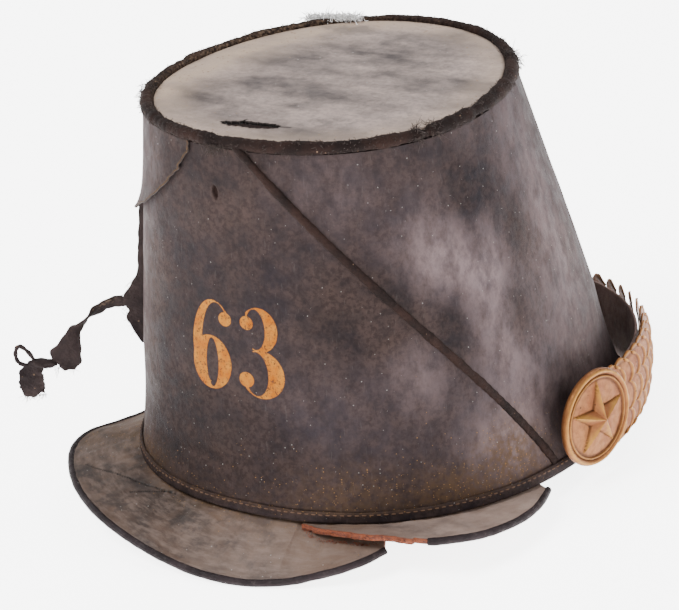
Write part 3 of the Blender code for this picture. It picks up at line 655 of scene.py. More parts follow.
def make_oilcloth():
    """Charcoal cloth with worn bloom and painted sheen, dust, specks, gold figures and bare torn edges."""
    material, tree, place, _ = start_material("oilcloth")
    cloud = use(tree, patches, Place=place, Scale=26.0)
    broad = use(tree, patches, Place=place, Scale=9.0)
    base = mix(tree, cloud["Patch"], colour(42, 35, 37), colour(88, 70, 63))
    base = mix(tree, times(tree, broad["Patch"], 0.65), base, colour(38, 37, 50))
    base = mix(tree, times(tree, cloud["Fine"], 0.45), base, colour(106, 87, 81))
    mottle = between(tree, noise(tree, place, 520.0, 4.0, 0.7), 0.42, 0.62)
    base = mix(tree, times(tree, mottle, 0.5), base, colour(33, 26, 28))
    # Pale haze: worn bloom in patches, and painted sheen where the wall's sides catch the light
    rubbed_and_highlight = noise(tree, stretched(tree, place, (1.0, 1.0, 0.6)), 150.0, 5.0, 0.7)
    bloom_and_sheen = times(tree, attribute(tree, "bloom_and_sheen"), between(tree, rubbed_and_highlight, 0.30, 0.68, 0.35, 1.0))
    base = mix(tree, bloom_and_sheen, base, colour(200, 174, 176))
    dust_and_highlight = attribute(tree, "dust")
    dust = times(tree, dust_and_highlight, between(tree, noise(tree, place, 420.0), 0.34, 0.64, 0.3, 1.0))
    base = mix(tree, dust, base, colour(122, 94, 68))
    base = speckle(tree, place, base, 1600.0, times(tree, dust_and_highlight, 0.45), colour(186, 140, 86))
    base = speckle(tree, place, base, 1500.0, 0.013, colour(190, 184, 180))
    streaks = stretched(tree, place, (11.0, 11.0, 1.0))
    marks = use(tree, scratches, Place=streaks, Scale=130.0, Amount=0.10)
    base = mix(tree, marks["Mask"], base, colour(150, 142, 140))
    base = mix(tree, attribute(tree, "torn_edge_and_shade"), base, colour(48, 32, 27))
    painted = gold_left(tree, place)
    base = mix(tree, painted, base, mix(tree, cloud["Fine"], colour(226, 126, 28), colour(250, 166, 66)))
    rough = between(tree, cloud["Fine"], 0.0, 1.0, 0.62, 0.82)
    rough = calc(tree, "ADD", rough, times(tree, dust, 0.3))
    normal = bump(tree, noise(tree, place, 300.0, 6.0, 0.7), 0.5 * MM, 0.9)
    finish(tree, base, rough, 0.05, bump(tree, painted, 0.06 * MM, 0.8, normal))
    return material


oilcloth = make_oilcloth()

# %% [markdown]
# ### Top cloth, wool cord, leathers, brass and the tie
# The top is the same oilcloth bleached to a mauve grey, and dusty along the cord. The cord is brown wool.
# The leathers differ in wear: the visor is scuffed, its bound edge is still dark, and the torn edge shows
# rust-red fibres. The brass has gone the colour of copper, brighter where it is rubbed, with a painted
# highlight on its raised edges. The wadding's colours lie above 255, because PIGMENT darkens every colour
# and wadding is as white as the paper.

# %% The other finishes


def make_top_cloth():
    """Bleached oilcloth, creamier towards its edge, darker in long patches, with painted shade round the
    split.
    """
    material, tree, place, _ = start_material("top_cloth")
    cloud = use(tree, patches, Place=stretched(tree, place, (0.8, 1.5, 1.0)), Scale=20.0)
    base = mix(tree, cloud["Patch"], colour(88, 78, 78), colour(246, 220, 208))
    base = mix(tree, times(tree, cloud["Fine"], 0.5), base, colour(196, 178, 172))
    mottle = between(tree, noise(tree, place, 480.0, 4.0, 0.7), 0.42, 0.62)
    base = mix(tree, times(tree, mottle, 0.3), base, colour(92, 82, 82))
    rim = attribute(tree, "rim")
    creamy = times(tree, rim, between(tree, noise(tree, place, 120.0), 0.3, 0.7, 0.55, 1.0))
    base = mix(tree, creamy, base, colour(246, 216, 190))
    stain = between(tree, noise(tree, place, 34.0, 5.0), 0.56, 0.70)
    base = mix(tree, times(tree, stain, 0.5), base, colour(82, 78, 80))
    base = speckle(tree, place, base, 1100.0, 0.02, colour(222, 216, 208))
    base = speckle(tree, place, base, 800.0, times(tree, rim, 0.3), colour(196, 160, 128))
    # Round the split: a dark torn edge with painted shade falling into the hole
    base = mix(tree, attribute(tree, "torn_edge_and_shade"), base, colour(44, 32, 28))
    rough = between(tree, cloud["Fine"], 0.0, 1.0, 0.55, 0.72)
    finish(tree, base, rough, 0.2, bump(tree, noise(tree, place, 240.0, 6.0, 0.65), 0.6 * MM, 0.9))
    return material


def make_wool(name, dark, light, count=900.0):
    """Woven wool of so many threads a metre: a coarse lumpy weave, uneven wear and caked dust, and on the
    strip's twist a painted highlight.
    """
    material, tree, place, cloth = start_material(name)
    cloud = use(tree, patches, Place=place, Scale=70.0)
    base = mix(tree, cloud["Patch"], dark, light)
    fuzz = noise(tree, place, 1500.0, 4.0, 0.7)
    base = mix(tree, between(tree, fuzz, 0.55, 0.8, 0.0, 0.35), base, colour(104, 76, 62))
    base = speckle(tree, place, base, 900.0, 0.03, colour(160, 130, 108))
    caked = between(tree, noise(tree, place, 900.0, 4.0, 0.7), 0.40, 0.75, 0.0, 0.8)
    # Caked dust, which on the cloth strip's twist is also a painted highlight
    base = mix(tree, times(tree, attribute(tree, "dust_and_highlight"), caked), base, colour(206, 172, 144))
    woven = use(tree, weave, Cloth=cloth, Threads=count)
    normal = bump(tree, woven["Height"], 0.05 * MM, 0.6)
    normal = bump(tree, noise(tree, place, 420.0, 5.0, 0.65), 0.9 * MM, 0.9, normal)
    finish(tree, base, 0.88, 0.12, normal)
    return material


def make_visor_leather():
    """Scuffed leather: streaks that run round the visor, dark bruises, dust by the crown and cracks."""
    material, tree, place, cloth = start_material("visor_leather")
    cloud = use(tree, patches, Place=place, Scale=26.0)
    streaks = noise(tree, stretched(tree, cloth, (150.0, 34.0, 1.0)), 3.0, 6.0, 0.75)
    base = mix(tree, cloud["Patch"], colour(80, 64, 57), colour(150, 120, 102))
    base = mix(tree, between(tree, streaks, 0.40, 0.66, 0.0, 0.65), base, colour(174, 150, 138))
    bruise = between(tree, noise(tree, place, 42.0, 6.0, 0.7), 0.50, 0.62)
    base = mix(tree, times(tree, bruise, 0.7), base, colour(58, 50, 50))
    worn = between(tree, noise(tree, place, 70.0, 6.0, 0.7), 0.36, 0.60, 0.55, 1.0)
    base = mix(tree, times(tree, attribute(tree, "pale"), worn), base, colour(240, 210, 196))
    base = mix(tree, attribute(tree, "smudge"), base, colour(60, 54, 56))
    dust = attribute(tree, "dust")
    warm = times(tree, dust, between(tree, noise(tree, place, 160.0), 0.35, 0.65))
    base = mix(tree, warm, base, colour(146, 112, 76))
    base = speckle(tree, place, base, 1500.0, times(tree, dust, 0.5), colour(204, 156, 96))
    base = speckle(tree, place, base, 1300.0, 0.02, colour(206, 198, 190))
    base = mix(tree, attribute(tree, "crack"), base, colour(24, 18, 17))
    base = mix(tree, attribute(tree, "raw"), base, colour(184, 84, 34))
    normal = bump(tree, noise(tree, place, 700.0, 5.0, 0.6), 0.12 * MM, 0.8)
    normal = bump(tree, streaks, 0.30 * MM, 0.7, normal)
    finish(tree, base, between(tree, streaks, 0.3, 0.7, 0.50, 0.68), 0.2, normal)
    return material


def make_dark_leather(name, dark, light):
    """Bound or strap leather: fine pores, rubbed paler in patches."""
    material, tree, place, _ = start_material(name)
    cloud = use(tree, patches, Place=place, Scale=60.0)
    base = mix(tree, cloud["Patch"], dark, light)
    rubbed_and_highlight = between(tree, noise(tree, place, 330.0, 5.0, 0.7), 0.54, 0.72, 0.0, 0.55)
    base = mix(tree, rubbed_and_highlight, base, colour(112, 98, 96))
    base = speckle(tree, place, base, 600.0, 0.03, colour(176, 166, 160))
    normal = bump(tree, noise(tree, place, 1100.0, 5.0, 0.6), 0.10 * MM, 0.8)
    normal = bump(tree, cloud["Fine"], 0.25 * MM, 0.6, normal)
    finish(tree, base, between(tree, cloud["Fine"], 0.0, 1.0, 0.6, 0.78), 0.15, normal)
    return material


def make_torn_leather():
    """The inside of the leather, rust red and fibrous."""
    material, tree, place, _ = start_material("torn_leather")
    hide = noise(tree, stretched(tree, place, (1.0, 1.0, 3.0)), 700.0, 5.0, 0.7)
    base = mix(tree, between(tree, hide, 0.35, 0.65), colour(112, 44, 20), colour(206, 100, 40))
    finish(tree, base, 0.85, 0.5, bump(tree, hide, 0.5 * MM, 1.0))
    return material


def make_brass():
    """Tarnished brass: copper-tan film over yellow metal, brighter on what stands proud, rubbed and with a
    painted highlight.
    """
    material, tree, place, _ = start_material("brass")
    cloud = use(tree, patches, Place=place, Scale=85.0)
    base = mix(tree, cloud["Patch"], colour(190, 112, 68), colour(216, 144, 88))
    base = mix(tree, times(tree, cloud["Fine"], 0.4), base, colour(190, 128, 92))
    # Raised lips and ridges: rubbed bright brass with a painted highlight
    base = mix(tree, times(tree, attribute(tree, "rubbed_and_highlight"), 0.8), base, colour(252, 184, 88))
    base = mix(tree, times(tree, attribute(tree, "sunk"), 0.7), base, colour(108, 66, 44))
    base = speckle(tree, place, base, 900.0, 0.05, colour(90, 62, 48))
    rough = between(tree, cloud["Fine"], 0.0, 1.0, 0.46, 0.64)
    normal = bump(tree, noise(tree, place, 900.0, 5.0, 0.6), 0.08 * MM, 0.7)
    shader = finish(tree, base, rough, 0.15, normal)
    shader.inputs["Metallic"].default_value = 0.72
    return material


def make_plain_fibre(name, dark, light):
    """Loose fibres, which need only a varied colour."""
    material, tree, place, _ = start_material(name)
    finish(tree, mix(tree, noise(tree, place, 300.0), dark, light), 0.9, 0.5)
    return material


top_cloth = make_top_cloth()
brown_wool = make_wool("brown_wool", colour(36, 22, 19), colour(64, 42, 35))
tie_wool = make_wool("tie_wool", colour(56, 45, 46), colour(92, 76, 74), 1300.0)
visor_leather = make_visor_leather()
edge_leather = make_dark_leather("edge_leather", colour(42, 30, 33), colour(64, 49, 53))
strap_leather = make_dark_leather("strap_leather", colour(150, 112, 102), colour(204, 166, 154))
torn_leather = make_torn_leather()
brass = make_brass()
dark_fibre = make_plain_fibre("dark_fibre", colour(42, 30, 27), colour(92, 68, 56))
white_fibre = make_plain_fibre("white_fibre", colour(330, 325, 322), colour(360, 358, 356))
stitch_thread = make_plain_fibre("stitch_thread", colour(84, 54, 38), colour(150, 104, 66))
print(len(bpy.data.materials), "materials")

# %% [markdown]
# ## The crown
# One closed skin carries the oilcloth outside, the rim under the cord and the board inside. Its rows and
# columns lie closer together behind the figures, where the painted edge needs them. The stiff wall isn't
# a true cone: it has shallow dents, a crease above the hem and a lap of cloth at the seam, all added as
# small outsets.

# %% The figures' outline
FIGURE_HEIGHT = 35 * MM
FIGURE_MIDDLE = 64.4 * MM
SIX_ANGLE = -97.3
THREE_ANGLE = -84.4

# The angles that the figures lie between, and the distance in mm from an outline where none is near
FIGURE_SPAN = (-107.0, -75.0)
NO_FIGURE = -3.0


def ellipse_edge(x, y, centre_x, centre_y, half_x, half_y):
    """Distance outside an ellipse: its level value, less one, over the steepness of that value."""
    a = (x - centre_x) / half_x
    b = (y - centre_y) / half_y
    level = np.sqrt(a**2 + b**2) + 1e-6
    steep = np.sqrt((a / half_x) ** 2 + (b / half_y) ** 2) + 1e-6
    return level * (level - 1) / steep


def crescent(x, y, outer, inner):
    """What lies inside one ellipse and outside another."""
    return np.maximum(ellipse_edge(x, y, *outer), -ellipse_edge(x, y, *inner))


def figure_six(x, y):
    """A round bowl, a thick back that thins over the top, and a ball at its end; shares of the height."""
    bowl = crescent(x, y, (0.0, 0.30, 0.255, 0.30), (0.012, 0.30, 0.078, 0.272))
    back = crescent(x, y, (0.035, 0.50, 0.29, 0.50), (0.075, 0.50, 0.20, 0.476))
    back = np.maximum(back, np.minimum(x + 0.02, np.maximum(0.80 - y, 0.30 - y)))
    ball = ellipse_edge(x, y, 0.195, 0.81, 0.082, 0.078)
    return np.minimum(np.minimum(bowl, back), ball)


def figure_three(x, y):
    """Two bowls that are thick on the right, hairlines at top, middle and foot, and a ball at each end."""
    upper = crescent(x, y, (-0.01, 0.755, 0.215, 0.245), (-0.055, 0.755, 0.115, 0.222))
    upper = np.maximum(upper, np.minimum(-0.10 - x, 0.84 - y))
    upper = np.maximum(upper, -0.16 - x)
    lower = crescent(x, y, (-0.005, 0.265, 0.255, 0.268), (-0.065, 0.265, 0.135, 0.243))
    lower = np.maximum(lower, np.minimum(-0.10 - x, y - 0.16))
    lower = np.maximum(lower, -0.20 - x)
    high_ball = ellipse_edge(x, y, -0.155, 0.815, 0.080, 0.076)
    low_ball = ellipse_edge(x, y, -0.185, 0.185, 0.088, 0.084)
    return np.minimum(np.minimum(upper, lower), np.minimum(high_ball, low_ball))


def number_edge(degrees, height):
    """Distance in mm inside the nearest figure's outline, negative outside, over the wall's grid."""
    fine = np.arange(-120.0, -59.9, 0.1)
    run = lengths(crown(fine, FIGURE_MIDDLE))
    y = (height - FIGURE_MIDDLE) / FIGURE_HEIGHT + 0.5
    nearest = np.full(np.broadcast(degrees, height).shape, np.inf)
    for angle, shape in ((SIX_ANGLE, figure_six), (THREE_ANGLE, figure_three)):
        x = (np.interp(degrees, fine, run) - np.interp(angle, fine, run)) / FIGURE_HEIGHT
        nearest = np.minimum(nearest, shape(x, y) * FIGURE_HEIGHT / MM)
    return np.clip(-nearest, NO_FIGURE, -NO_FIGURE)


print("figures", FIGURE_HEIGHT / MM, "mm high")

# %% [markdown]
# ### Relief, wear and painted sheen
# The wall's dents, pale bloom with painted sheen, and dust are functions of an angle and a height. They
# add up bell curves at places given in tables, so that one row of a table or one line moves one patch.

# %% The crown's relief and wear
NICK_ANGLE = -94.5
NICK_HEIGHT = 0.853 * CROWN_HEIGHT
NICK_HALF_WIDTH = 1.05 * MM
NICK_HALF_HEIGHT = 2.6 * MM
SEAM_FOOT_ANGLE = -10.0
SEAM_SWEEP = 80.0
SEAM_POWER = 1.35
BASE_MEAN_RADIUS = 94 * MM
TOP_MEAN_RADIUS = 68 * MM
BASE_HAZE = 0.04

# Paler and darker places, worn bloom with painted sheen at the sides: angle in degrees, share of the
# height, the spreads of both, and the amount
BLOOM_AND_SHEEN_ROWS = (
    (-140, 0.60, 11, 0.60, 0.30),
    (-128, 0.85, 12, 0.16, 0.16),
    (-62, 0.88, 16, 0.10, 0.16),
    (-36, 0.70, 10, 0.10, 0.42),
    (-52, 0.56, 12, 0.10, -0.20),
    (-22, 0.52, 11, 0.30, 0.40),
    (-10, 0.32, 10, 0.28, 0.14),
    (8, 0.60, 10, 0.50, 0.26),
    (-18, 0.80, 8, 0.10, -0.44),
    (-31, 0.50, 6, 0.16, -0.30),
    (-12, 0.46, 6, 0.08, -0.34),
    (-3, 0.66, 6, 0.10, -0.26),
    (-44, 0.38, 8, 0.09, 0.28),
    (-24, 0.14, 11, 0.09, 0.50),
    (-30, 0.62, 9, 0.08, 0.30),
    (-16, 0.62, 4, 0.30, 0.20),
    (-100, 0.20, 22, 0.09, -0.22),
    (-70, 0.26, 14, 0.12, 0.10),
    (20, 0.50, 30, 0.60, 0.22),
    (85, 0.45, 40, 0.30, 0.20),
    (150, 0.60, 25, 0.30, 0.22),
)

# The tear on the wearer's right, down from the loose flap: share of height and angle
TEAR_ROWS = ((0.20, -151.0), (0.28, -146.5), (0.43, -144.5), (0.60, -142.5), (0.68, -141.5), (0.72, -138.0))


def seam_angle(height):
    """Where the seam lies: a power of the height's share turns it from the side to the front."""
    return SEAM_FOOT_ANGLE - SEAM_SWEEP * np.clip(height / CROWN_HEIGHT, 0, 1.02) ** SEAM_POWER


def arc(degrees, height):
    """Roughly how many metres a number of degrees is round the wall at a height."""
    share = height / CROWN_HEIGHT
    return np.radians(degrees) * (BASE_MEAN_RADIUS + (TOP_MEAN_RADIUS - BASE_MEAN_RADIUS) * share)


def nick_depth(degrees, height):
    """One in the middle of a small split in the cloth, taller than wide, and nothing outside it."""
    aside = arc(degrees - NICK_ANGLE, height) + 0.12 * (height - NICK_HEIGHT)
    off = np.hypot(aside / NICK_HALF_WIDTH, (height - NICK_HEIGHT) / NICK_HALF_HEIGHT)
    return 1 - rise_between(off, 0.7, 1.2)


def tear_depth(degrees, height):
    """One in the middle of the tear, nothing past its ragged edges."""
    share = height / CROWN_HEIGHT
    line = np.interp(share, *np.transpose(TEAR_ROWS))
    ragged = 0.5 * MM * np.cos(share * 260) + 0.4 * MM * np.cos(share * 97 + 1)
    off = np.abs(arc(degrees - line, height)) + ragged
    within = (share > 0.21) & (share < TEAR_ROWS[-1][0])
    return (1 - rise_between(off, 1.4 * MM, 2.4 * MM)) * within


def crown_relief(degrees, height):
    """Outset of the cloth: dents, a fine unevenness, a crease, the seam's lap, the tear and the nick."""
    place = wall_line(degrees, height / CROWN_HEIGHT)
    relief = 0.30 * MM * ripples(place, 3, 60 * MM, 150 * MM)
    relief += 0.07 * MM * ripples(place, 5, 12 * MM, 30 * MM, 16)
    off_seam = arc(degrees - seam_angle(height), height)
    lap = rise_between(off_seam, -1 * MM, 1 * MM) * (1 - rise_between(off_seam, 4 * MM, 14 * MM))
    relief += 0.30 * MM * lap
    crease = hump(height - 0.10 * arc(degrees + 98, height), 19 * MM, 2.6 * MM) * hump(degrees, -98, 20)
    relief -= 1.0 * MM * crease
    relief += 0.40 * MM * hump(height, 9 * MM, 5 * MM) * hump(degrees, -92, 26)
    relief -= TEAR_DEPTH * np.maximum(tear_depth(degrees, height), 0.8 * nick_depth(degrees, height))
    ends = rise_between(height, 0, 6 * MM) * (1 - rise_between(height, wall_top - 5 * MM, wall_top))
    return relief * ends


def crown_bloom_and_sheen(degrees, height):
    """How pale the cloth is, worn bloom and painted sheen: the sum of the bells in the table, and a little
    everywhere.
    """
    share = height / CROWN_HEIGHT
    total = np.full(np.broadcast(degrees, share).shape, BASE_HAZE)
    for angle, middle, angle_spread, spread, amount in BLOOM_AND_SHEEN_ROWS:
        aside = hump(near_angle(degrees, angle), 0, angle_spread)
        total = total + amount * aside * hump(share, middle, spread)
    return np.clip(total, 0, 1)


def crown_dust(degrees, height):
    """Dust that lies low on the wall, most of it on the wearer's left front, and beside the hem's line."""
    low = np.exp(-height / (9 * MM)) * (0.45 + 0.55 * hump(degrees, -45, 32))
    patch = 0.30 * hump(degrees, -66, 13) * hump(height, 13 * MM, 11 * MM)
    patch += 0.75 * hump(degrees, -22, 9) * hump(height, 17 * MM, 12 * MM)
    patch += 0.50 * hump(degrees, -40, 10) * hump(height, 10 * MM, 8 * MM)
    corner = 0.5 * hump(degrees, -128, 12) * hump(height, 6 * MM, 7 * MM)
    return np.clip(0.7 * low + patch + corner, 0, 1)


# %% [markdown]
# ### Skin
# A section runs up the outside, over the rim and down the inside, and is worked out for all angles at
# once. The ring of sections is the whole wall, and takes the place of the model's crown_wall.

# %% The crown's skin

# Where the grids round the hat begin, behind it, and how far apart their lines lie
GRID_START = -230.0
GRID_END = GRID_START + 360
COLUMN_STEP = 1.15
FINE_COLUMN_STEP = 0.22
ROW_STEP = 1.7 * MM
FINE_ROW_STEP = 0.40 * MM
NICK_ROW_STEP = 0.45 * MM


def build_crown():
    """Heights up the outside, over the rim, down the inside and back under the edge, for each angle."""
    degrees = graded(GRID_START, GRID_END, COLUMN_STEP, FINE_COLUMN_STEP, *FIGURE_SPAN)[:-1]
    low = FIGURE_MIDDLE - 0.56 * FIGURE_HEIGHT
    high = FIGURE_MIDDLE + 0.56 * FIGURE_HEIGHT
    nick_low = NICK_HEIGHT - 4 * MM
    nick_high = NICK_HEIGHT + 4 * MM
    outside = np.concatenate([
        graded(0.0, nick_low, ROW_STEP, FINE_ROW_STEP, low, high)[:-1],
        graded(nick_low, wall_top, ROW_STEP, NICK_ROW_STEP, nick_low, nick_high),
    ])
    inside = np.linspace(wall_top, 0.0, 22)
    height = np.concatenate([outside, inside])
    is_out = np.arange(len(height)) < len(outside)
    angle = degrees[:, None]
    relief = np.where(is_out, crown_relief(angle, height), -WALL + 0.25 * crown_relief(angle, height))
    grid = crown(angle, height[None, :], relief)
    spread = np.broadcast_to(height, (len(degrees), len(height)))
    attributes = {
        "number_edge": np.where(is_out, number_edge(angle, spread), NO_FIGURE),
        "bloom_and_sheen": np.where(is_out, crown_bloom_and_sheen(angle, spread), 0.12),
        "dust": np.where(is_out, crown_dust(angle, spread), 0.15),
        "torn_edge_and_shade": np.where(is_out, np.maximum(tear_depth(angle, spread), nick_depth(angle, spread)), 0.0),
    }
    piece = make_ring("oilcloth_crown", grid, oilcloth, attributes)
    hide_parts("crown_wall")
    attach(piece, "root")
    return piece


crown_piece = build_crown()
print("crown:", len(crown_piece.data.polygons) * 2, "triangles")

# %% [markdown]
# ## Taking a node's place
# Each finished piece replaces a node of the model, which is hidden, and moves with the hat's one body.
# Loose things, such as threads, stand for no node and only join the body. Two makers follow that many
# pieces share: one sweeps a section along a path, the other makes thin tubes in great number.

# %% Seating a piece, sections and threads


def seat(piece, node=None):
    """Joins a piece to the hat's body, and hides the node whose place it takes, if it has one."""
    if node is not None:
        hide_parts(node)
    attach(piece, "root")
    return piece


def unit(vectors):
    """Directions of length one."""
    return vectors / np.maximum(np.linalg.norm(vectors, axis=-1, keepdims=True), 1e-9)


def full_turn(count):
    """So many equal steps of one turn, in radians."""
    return 2 * np.pi * np.arange(count) / count


def circle(turn, radius):
    """Points on a circle, as radius times the cosine and sine of each turn."""
    return np.stack([np.cos(turn) * radius, np.sin(turn) * radius], axis=-1)


def close_ends(grid):
    """A tube's rings, with its first and last each drawn together at its middle."""
    first = np.broadcast_to(grid[:1].mean(axis=1, keepdims=True), grid[:1].shape)
    last = np.broadcast_to(grid[-1:].mean(axis=1, keepdims=True), grid[-1:].shape)
    return np.concatenate([first, grid, last])


def sweep(path, up, profile):
    """Sections along a path: profile holds (side, up) offsets, for all stations or for each. Ends close."""
    along = unit(np.gradient(path, axis=0))
    side = unit(np.cross(along, up))
    rise = np.cross(side, along)
    return close_ends(path[:, None] + side[:, None] * profile[..., :1] + rise[:, None] * profile[..., 1:])


def rounded(half_width, half_height, count, squareness):
    """A loop of count points round a rounded rectangle."""
    return np.stack(oval(full_turn(count), half_width, half_height, squareness), axis=-1)


def threads(name, paths, radii, material, sides=3):
    """Thin tubes in one mesh, along paths of as many points each. A radius of nothing closes an end."""
    count, steps = paths.shape[:2]
    along = unit(np.gradient(paths, axis=1))
    lean = np.where(np.abs(along[..., 2:]) < 0.9, (0.0, 0.0, 1.0), (1.0, 0.0, 0.0))
    side = unit(np.cross(along, lean))
    rise = np.cross(side, along)
    turn = full_turn(sides)[:, None]
    ring = side[:, :, None] * np.cos(turn) + rise[:, :, None] * np.sin(turn)
    points = paths[:, :, None] + ring * radii[:, :, None, None]
    faces = quads_of(steps, sides, around=True)
    faces = (faces[None] + (np.arange(count) * steps * sides)[:, None, None]).reshape(-1, 4)
    return weld(make_piece(name, points.reshape(-1, 3), faces, [material]))


def fibres(name, roots, lean, length, radius, material, seed, curl, droop=0.0):
    """Loose hairs: each leaves its root along lean and wanders off by curl, all shares of its length."""
    rng = np.random.default_rng(seed)
    count = len(roots)
    steps = 7
    t = np.linspace(0, 1, steps)[None, :, None]
    size = (length * rng.uniform(0.35, 1.0, count))[:, None, None]
    bend = rng.normal(size=(count, 1, 3)) * curl * t**2
    wave = rng.normal(size=(count, 1, 3)) * curl * 0.35 * np.sin(rng.uniform(2, 7, (count, 1, 1)) * t)
    paths = roots[:, None] + size * (unit(lean)[:, None] * t + bend + wave)
    paths[..., 2] -= (size * droop * t**2)[..., 0]
    taper = np.sin(np.pi * np.clip(0.04 + 0.96 * t, 0, 1)) ** 0.35
    taper[:, 0] = 0
    taper[:, -1] = 0
    radii = np.broadcast_to(taper[..., 0] * radius, (count, steps))
    return threads(name, paths, radii, material)


# %% [markdown]
# ## The sunk top
# A disc of board under oilcloth, sunk a little below the cord. It has bowed in places, a crease crosses
# it, and near the front it has split. The split is cut by leaving out the quads inside it, and Solidify
# gives the cut its thickness. Its edge is dark: a torn edge, with painted shade falling into the hole.

# %% The top

# The split's middle line and the crease, in mm from the top's centre: to the left, and to the back
SPLIT_ROWS = ((-13.7, -55.7), (-9.0, -55.9), (-4.5, -55.3), (4.1, -54.1), (9.1, -52.1), (13.0, -51.2))
CREASE_ROWS = ((-40.0, -49.5), (-35.0, -44.0), (-28.0, -39.6))
CLOTH_THICKNESS = 1.2 * MM
SPLIT_HALF_WIDTH = 2.6 * MM


def top_points(rows):
    """The rows of a table about the top, as points of the hat's own frame."""
    return [(across * MM, back * MM - TOP_FORWARD) for across, back in rows]


def line_distance(x, y, rows):
    """Distance in a plane from the nearest straight stretch between the rows of a table."""
    nearest = np.full(np.shape(x), 1.0)
    for (x0, y0), (x1, y1) in zip(rows[:-1], rows[1:]):
        run = np.array([x1 - x0, y1 - y0])
        share = np.clip(((x - x0) * run[0] + (y - y0) * run[1]) / (run @ run), 0, 1)
        nearest = np.minimum(nearest, np.hypot(x - x0 - run[0] * share, y - y0 - run[1] * share))
    return nearest


def split_open(x, y):
    """Distance outside the split's ragged edge, which opens widest right of its middle."""
    rows = top_points(SPLIT_ROWS)
    share = (x - rows[0][0]) / (rows[-2][0] - rows[0][0])
    open_half = SPLIT_HALF_WIDTH * np.sqrt(np.clip(4 * share * (1 - share), 0, 1)) * (0.7 + 0.5 * share)
    ragged = 0.22 * MM * np.cos(x * 2100) + 0.18 * MM * np.cos(x * 4700 + 1)
    spike = 1.9 * MM * hump(x, -5.6 * MM, 0.5 * MM) * (y > np.interp(x, *np.array(rows).T))
    return line_distance(x, y, rows) - open_half - ragged * (open_half > 0.4 * MM) - spike


def build_top():
    """Rings of points from the middle to the cord, closer together round the split."""
    degrees = graded(GRID_START, GRID_END, 2.0, 0.35, -110.0, -72.0)[:-1]
    share = graded(0.0, 1.0, 0.022, 0.006, 0.72, 0.92)[:, None]
    edge = crown(degrees, CROWN_HEIGHT - DISC_SINK, -(WALL + BINDING_WIDTH) / 2 - GAP)
    x = share * edge[:, 0]
    y = share * (edge[:, 1] + TOP_FORWARD) - TOP_FORWARD
    flat = np.stack([x, y], axis=-1)
    lift = 0.30 * MM * ripples(flat, 21, 22 * MM, 60 * MM) + 0.09 * MM * ripples(flat, 22, 5 * MM, 14 * MM)
    lift -= 0.45 * MM * hump(line_distance(x, y, top_points(CREASE_ROWS)), 0, 1 * MM)
    lift += 0.5 * MM * hump(split_open(x, y), 0.2 * MM, 1.2 * MM)
    lift *= 1 - rise_between(share, 0.93, 1.0)
    z = CROWN_HEIGHT - DISC_SINK + (y + TOP_FORWARD) * math.tan(TOP_TILT) + lift - 0.3 * MM
    near_edge = rise_between(share, 0.72, 0.99) * (0.55 + 0.45 * hump(near_angle(degrees, 150), 0, 70))
    left_back = 0.85 * hump(near_angle(degrees, 165), 0, 45) * rise_between(share, 0.45, 0.95)
    # Round the split the cloth is dark: a torn edge and painted shade
    attributes = {
        "rim": np.clip(near_edge + left_back, 0, 1),
        "torn_edge_and_shade": 1 - rise_between(split_open(x, y), 0.1 * MM, 0.7 * MM),
    }
    piece = make_sheet(
        "top_disc",
        np.stack([x, y, z], axis=-1),
        [top_cloth],
        around=True,
        flip=True,
        attributes=attributes,
        keep=lambda middle: split_open(middle[:, 0], middle[:, 1]) > 0,
    )
    weld(piece, turn=False)
    thicken(piece, CLOTH_THICKNESS)
    return seat(piece, "crown_top")


top_piece = build_top()
print("top:", len(top_piece.data.polygons), "faces")

# %% [markdown]
# ## Cord round the top
# A strip of brown wool is folded over the edge and sewn down. A hundred and fifty years have flattened
# it in places and frayed it, and moths have bitten through it once. The roll is a ring of sections, and
# its loose fibres are thin tubes that all lie in one mesh.

# %% The cord and its fibres
BITE_ANGLE = -29.0
BITE_DEPTH = 0.72
FRAY_COUNT = 1300
FRAY_LENGTH = 1.0 * MM
TUFT_LENGTH = 2.6 * MM
LOW_TUFT_COUNT = 90
WADDING_COUNT = 900

# The ends of the line that wadding comes out along, in mm from the top's centre as above
WADDING_ROWS = ((-46.6, 54.6), (-28.5, 61.4))


def binding_place(degrees, turn, swell=1.0):
    """A point on the cord's skin: turn 0 faces out and 90 up."""
    radius_up = 0.57 * BINDING_HEIGHT * np.sin(np.radians(turn))
    radius_out = 0.49 * BINDING_WIDTH * np.cos(np.radians(turn))
    spot = wall_line(degrees, 1.0)
    lumps = 1 + 0.12 * ripples(spot, 31, 6 * MM, 22 * MM) + 0.05 * ripples(spot, 32, 1.5 * MM, 4 * MM)
    lumps = (lumps * swell) * (1 - BITE_DEPTH * hump(near_angle(degrees, BITE_ANGLE), 0, 1.5))
    height = CROWN_HEIGHT - BINDING_HEIGHT / 2 + radius_up * lumps
    return crown(degrees, height, radius_out * lumps - WALL / 2)


def build_binding():
    """The rolled cord, a ring of rounded sections."""
    degrees = np.arange(0, 360, 0.45)[:, None]
    turn = np.arange(0, 360, 20)[None, :]
    grid = binding_place(degrees, turn)
    dust_and_highlight = hump(near_angle(degrees, 160), 0, 55) * hump(near_angle(turn, 150), 0, 50)
    piece = make_ring("rolled_cord", grid, brown_wool, {"dust_and_highlight": dust_and_highlight})
    return seat(piece, "top_binding")


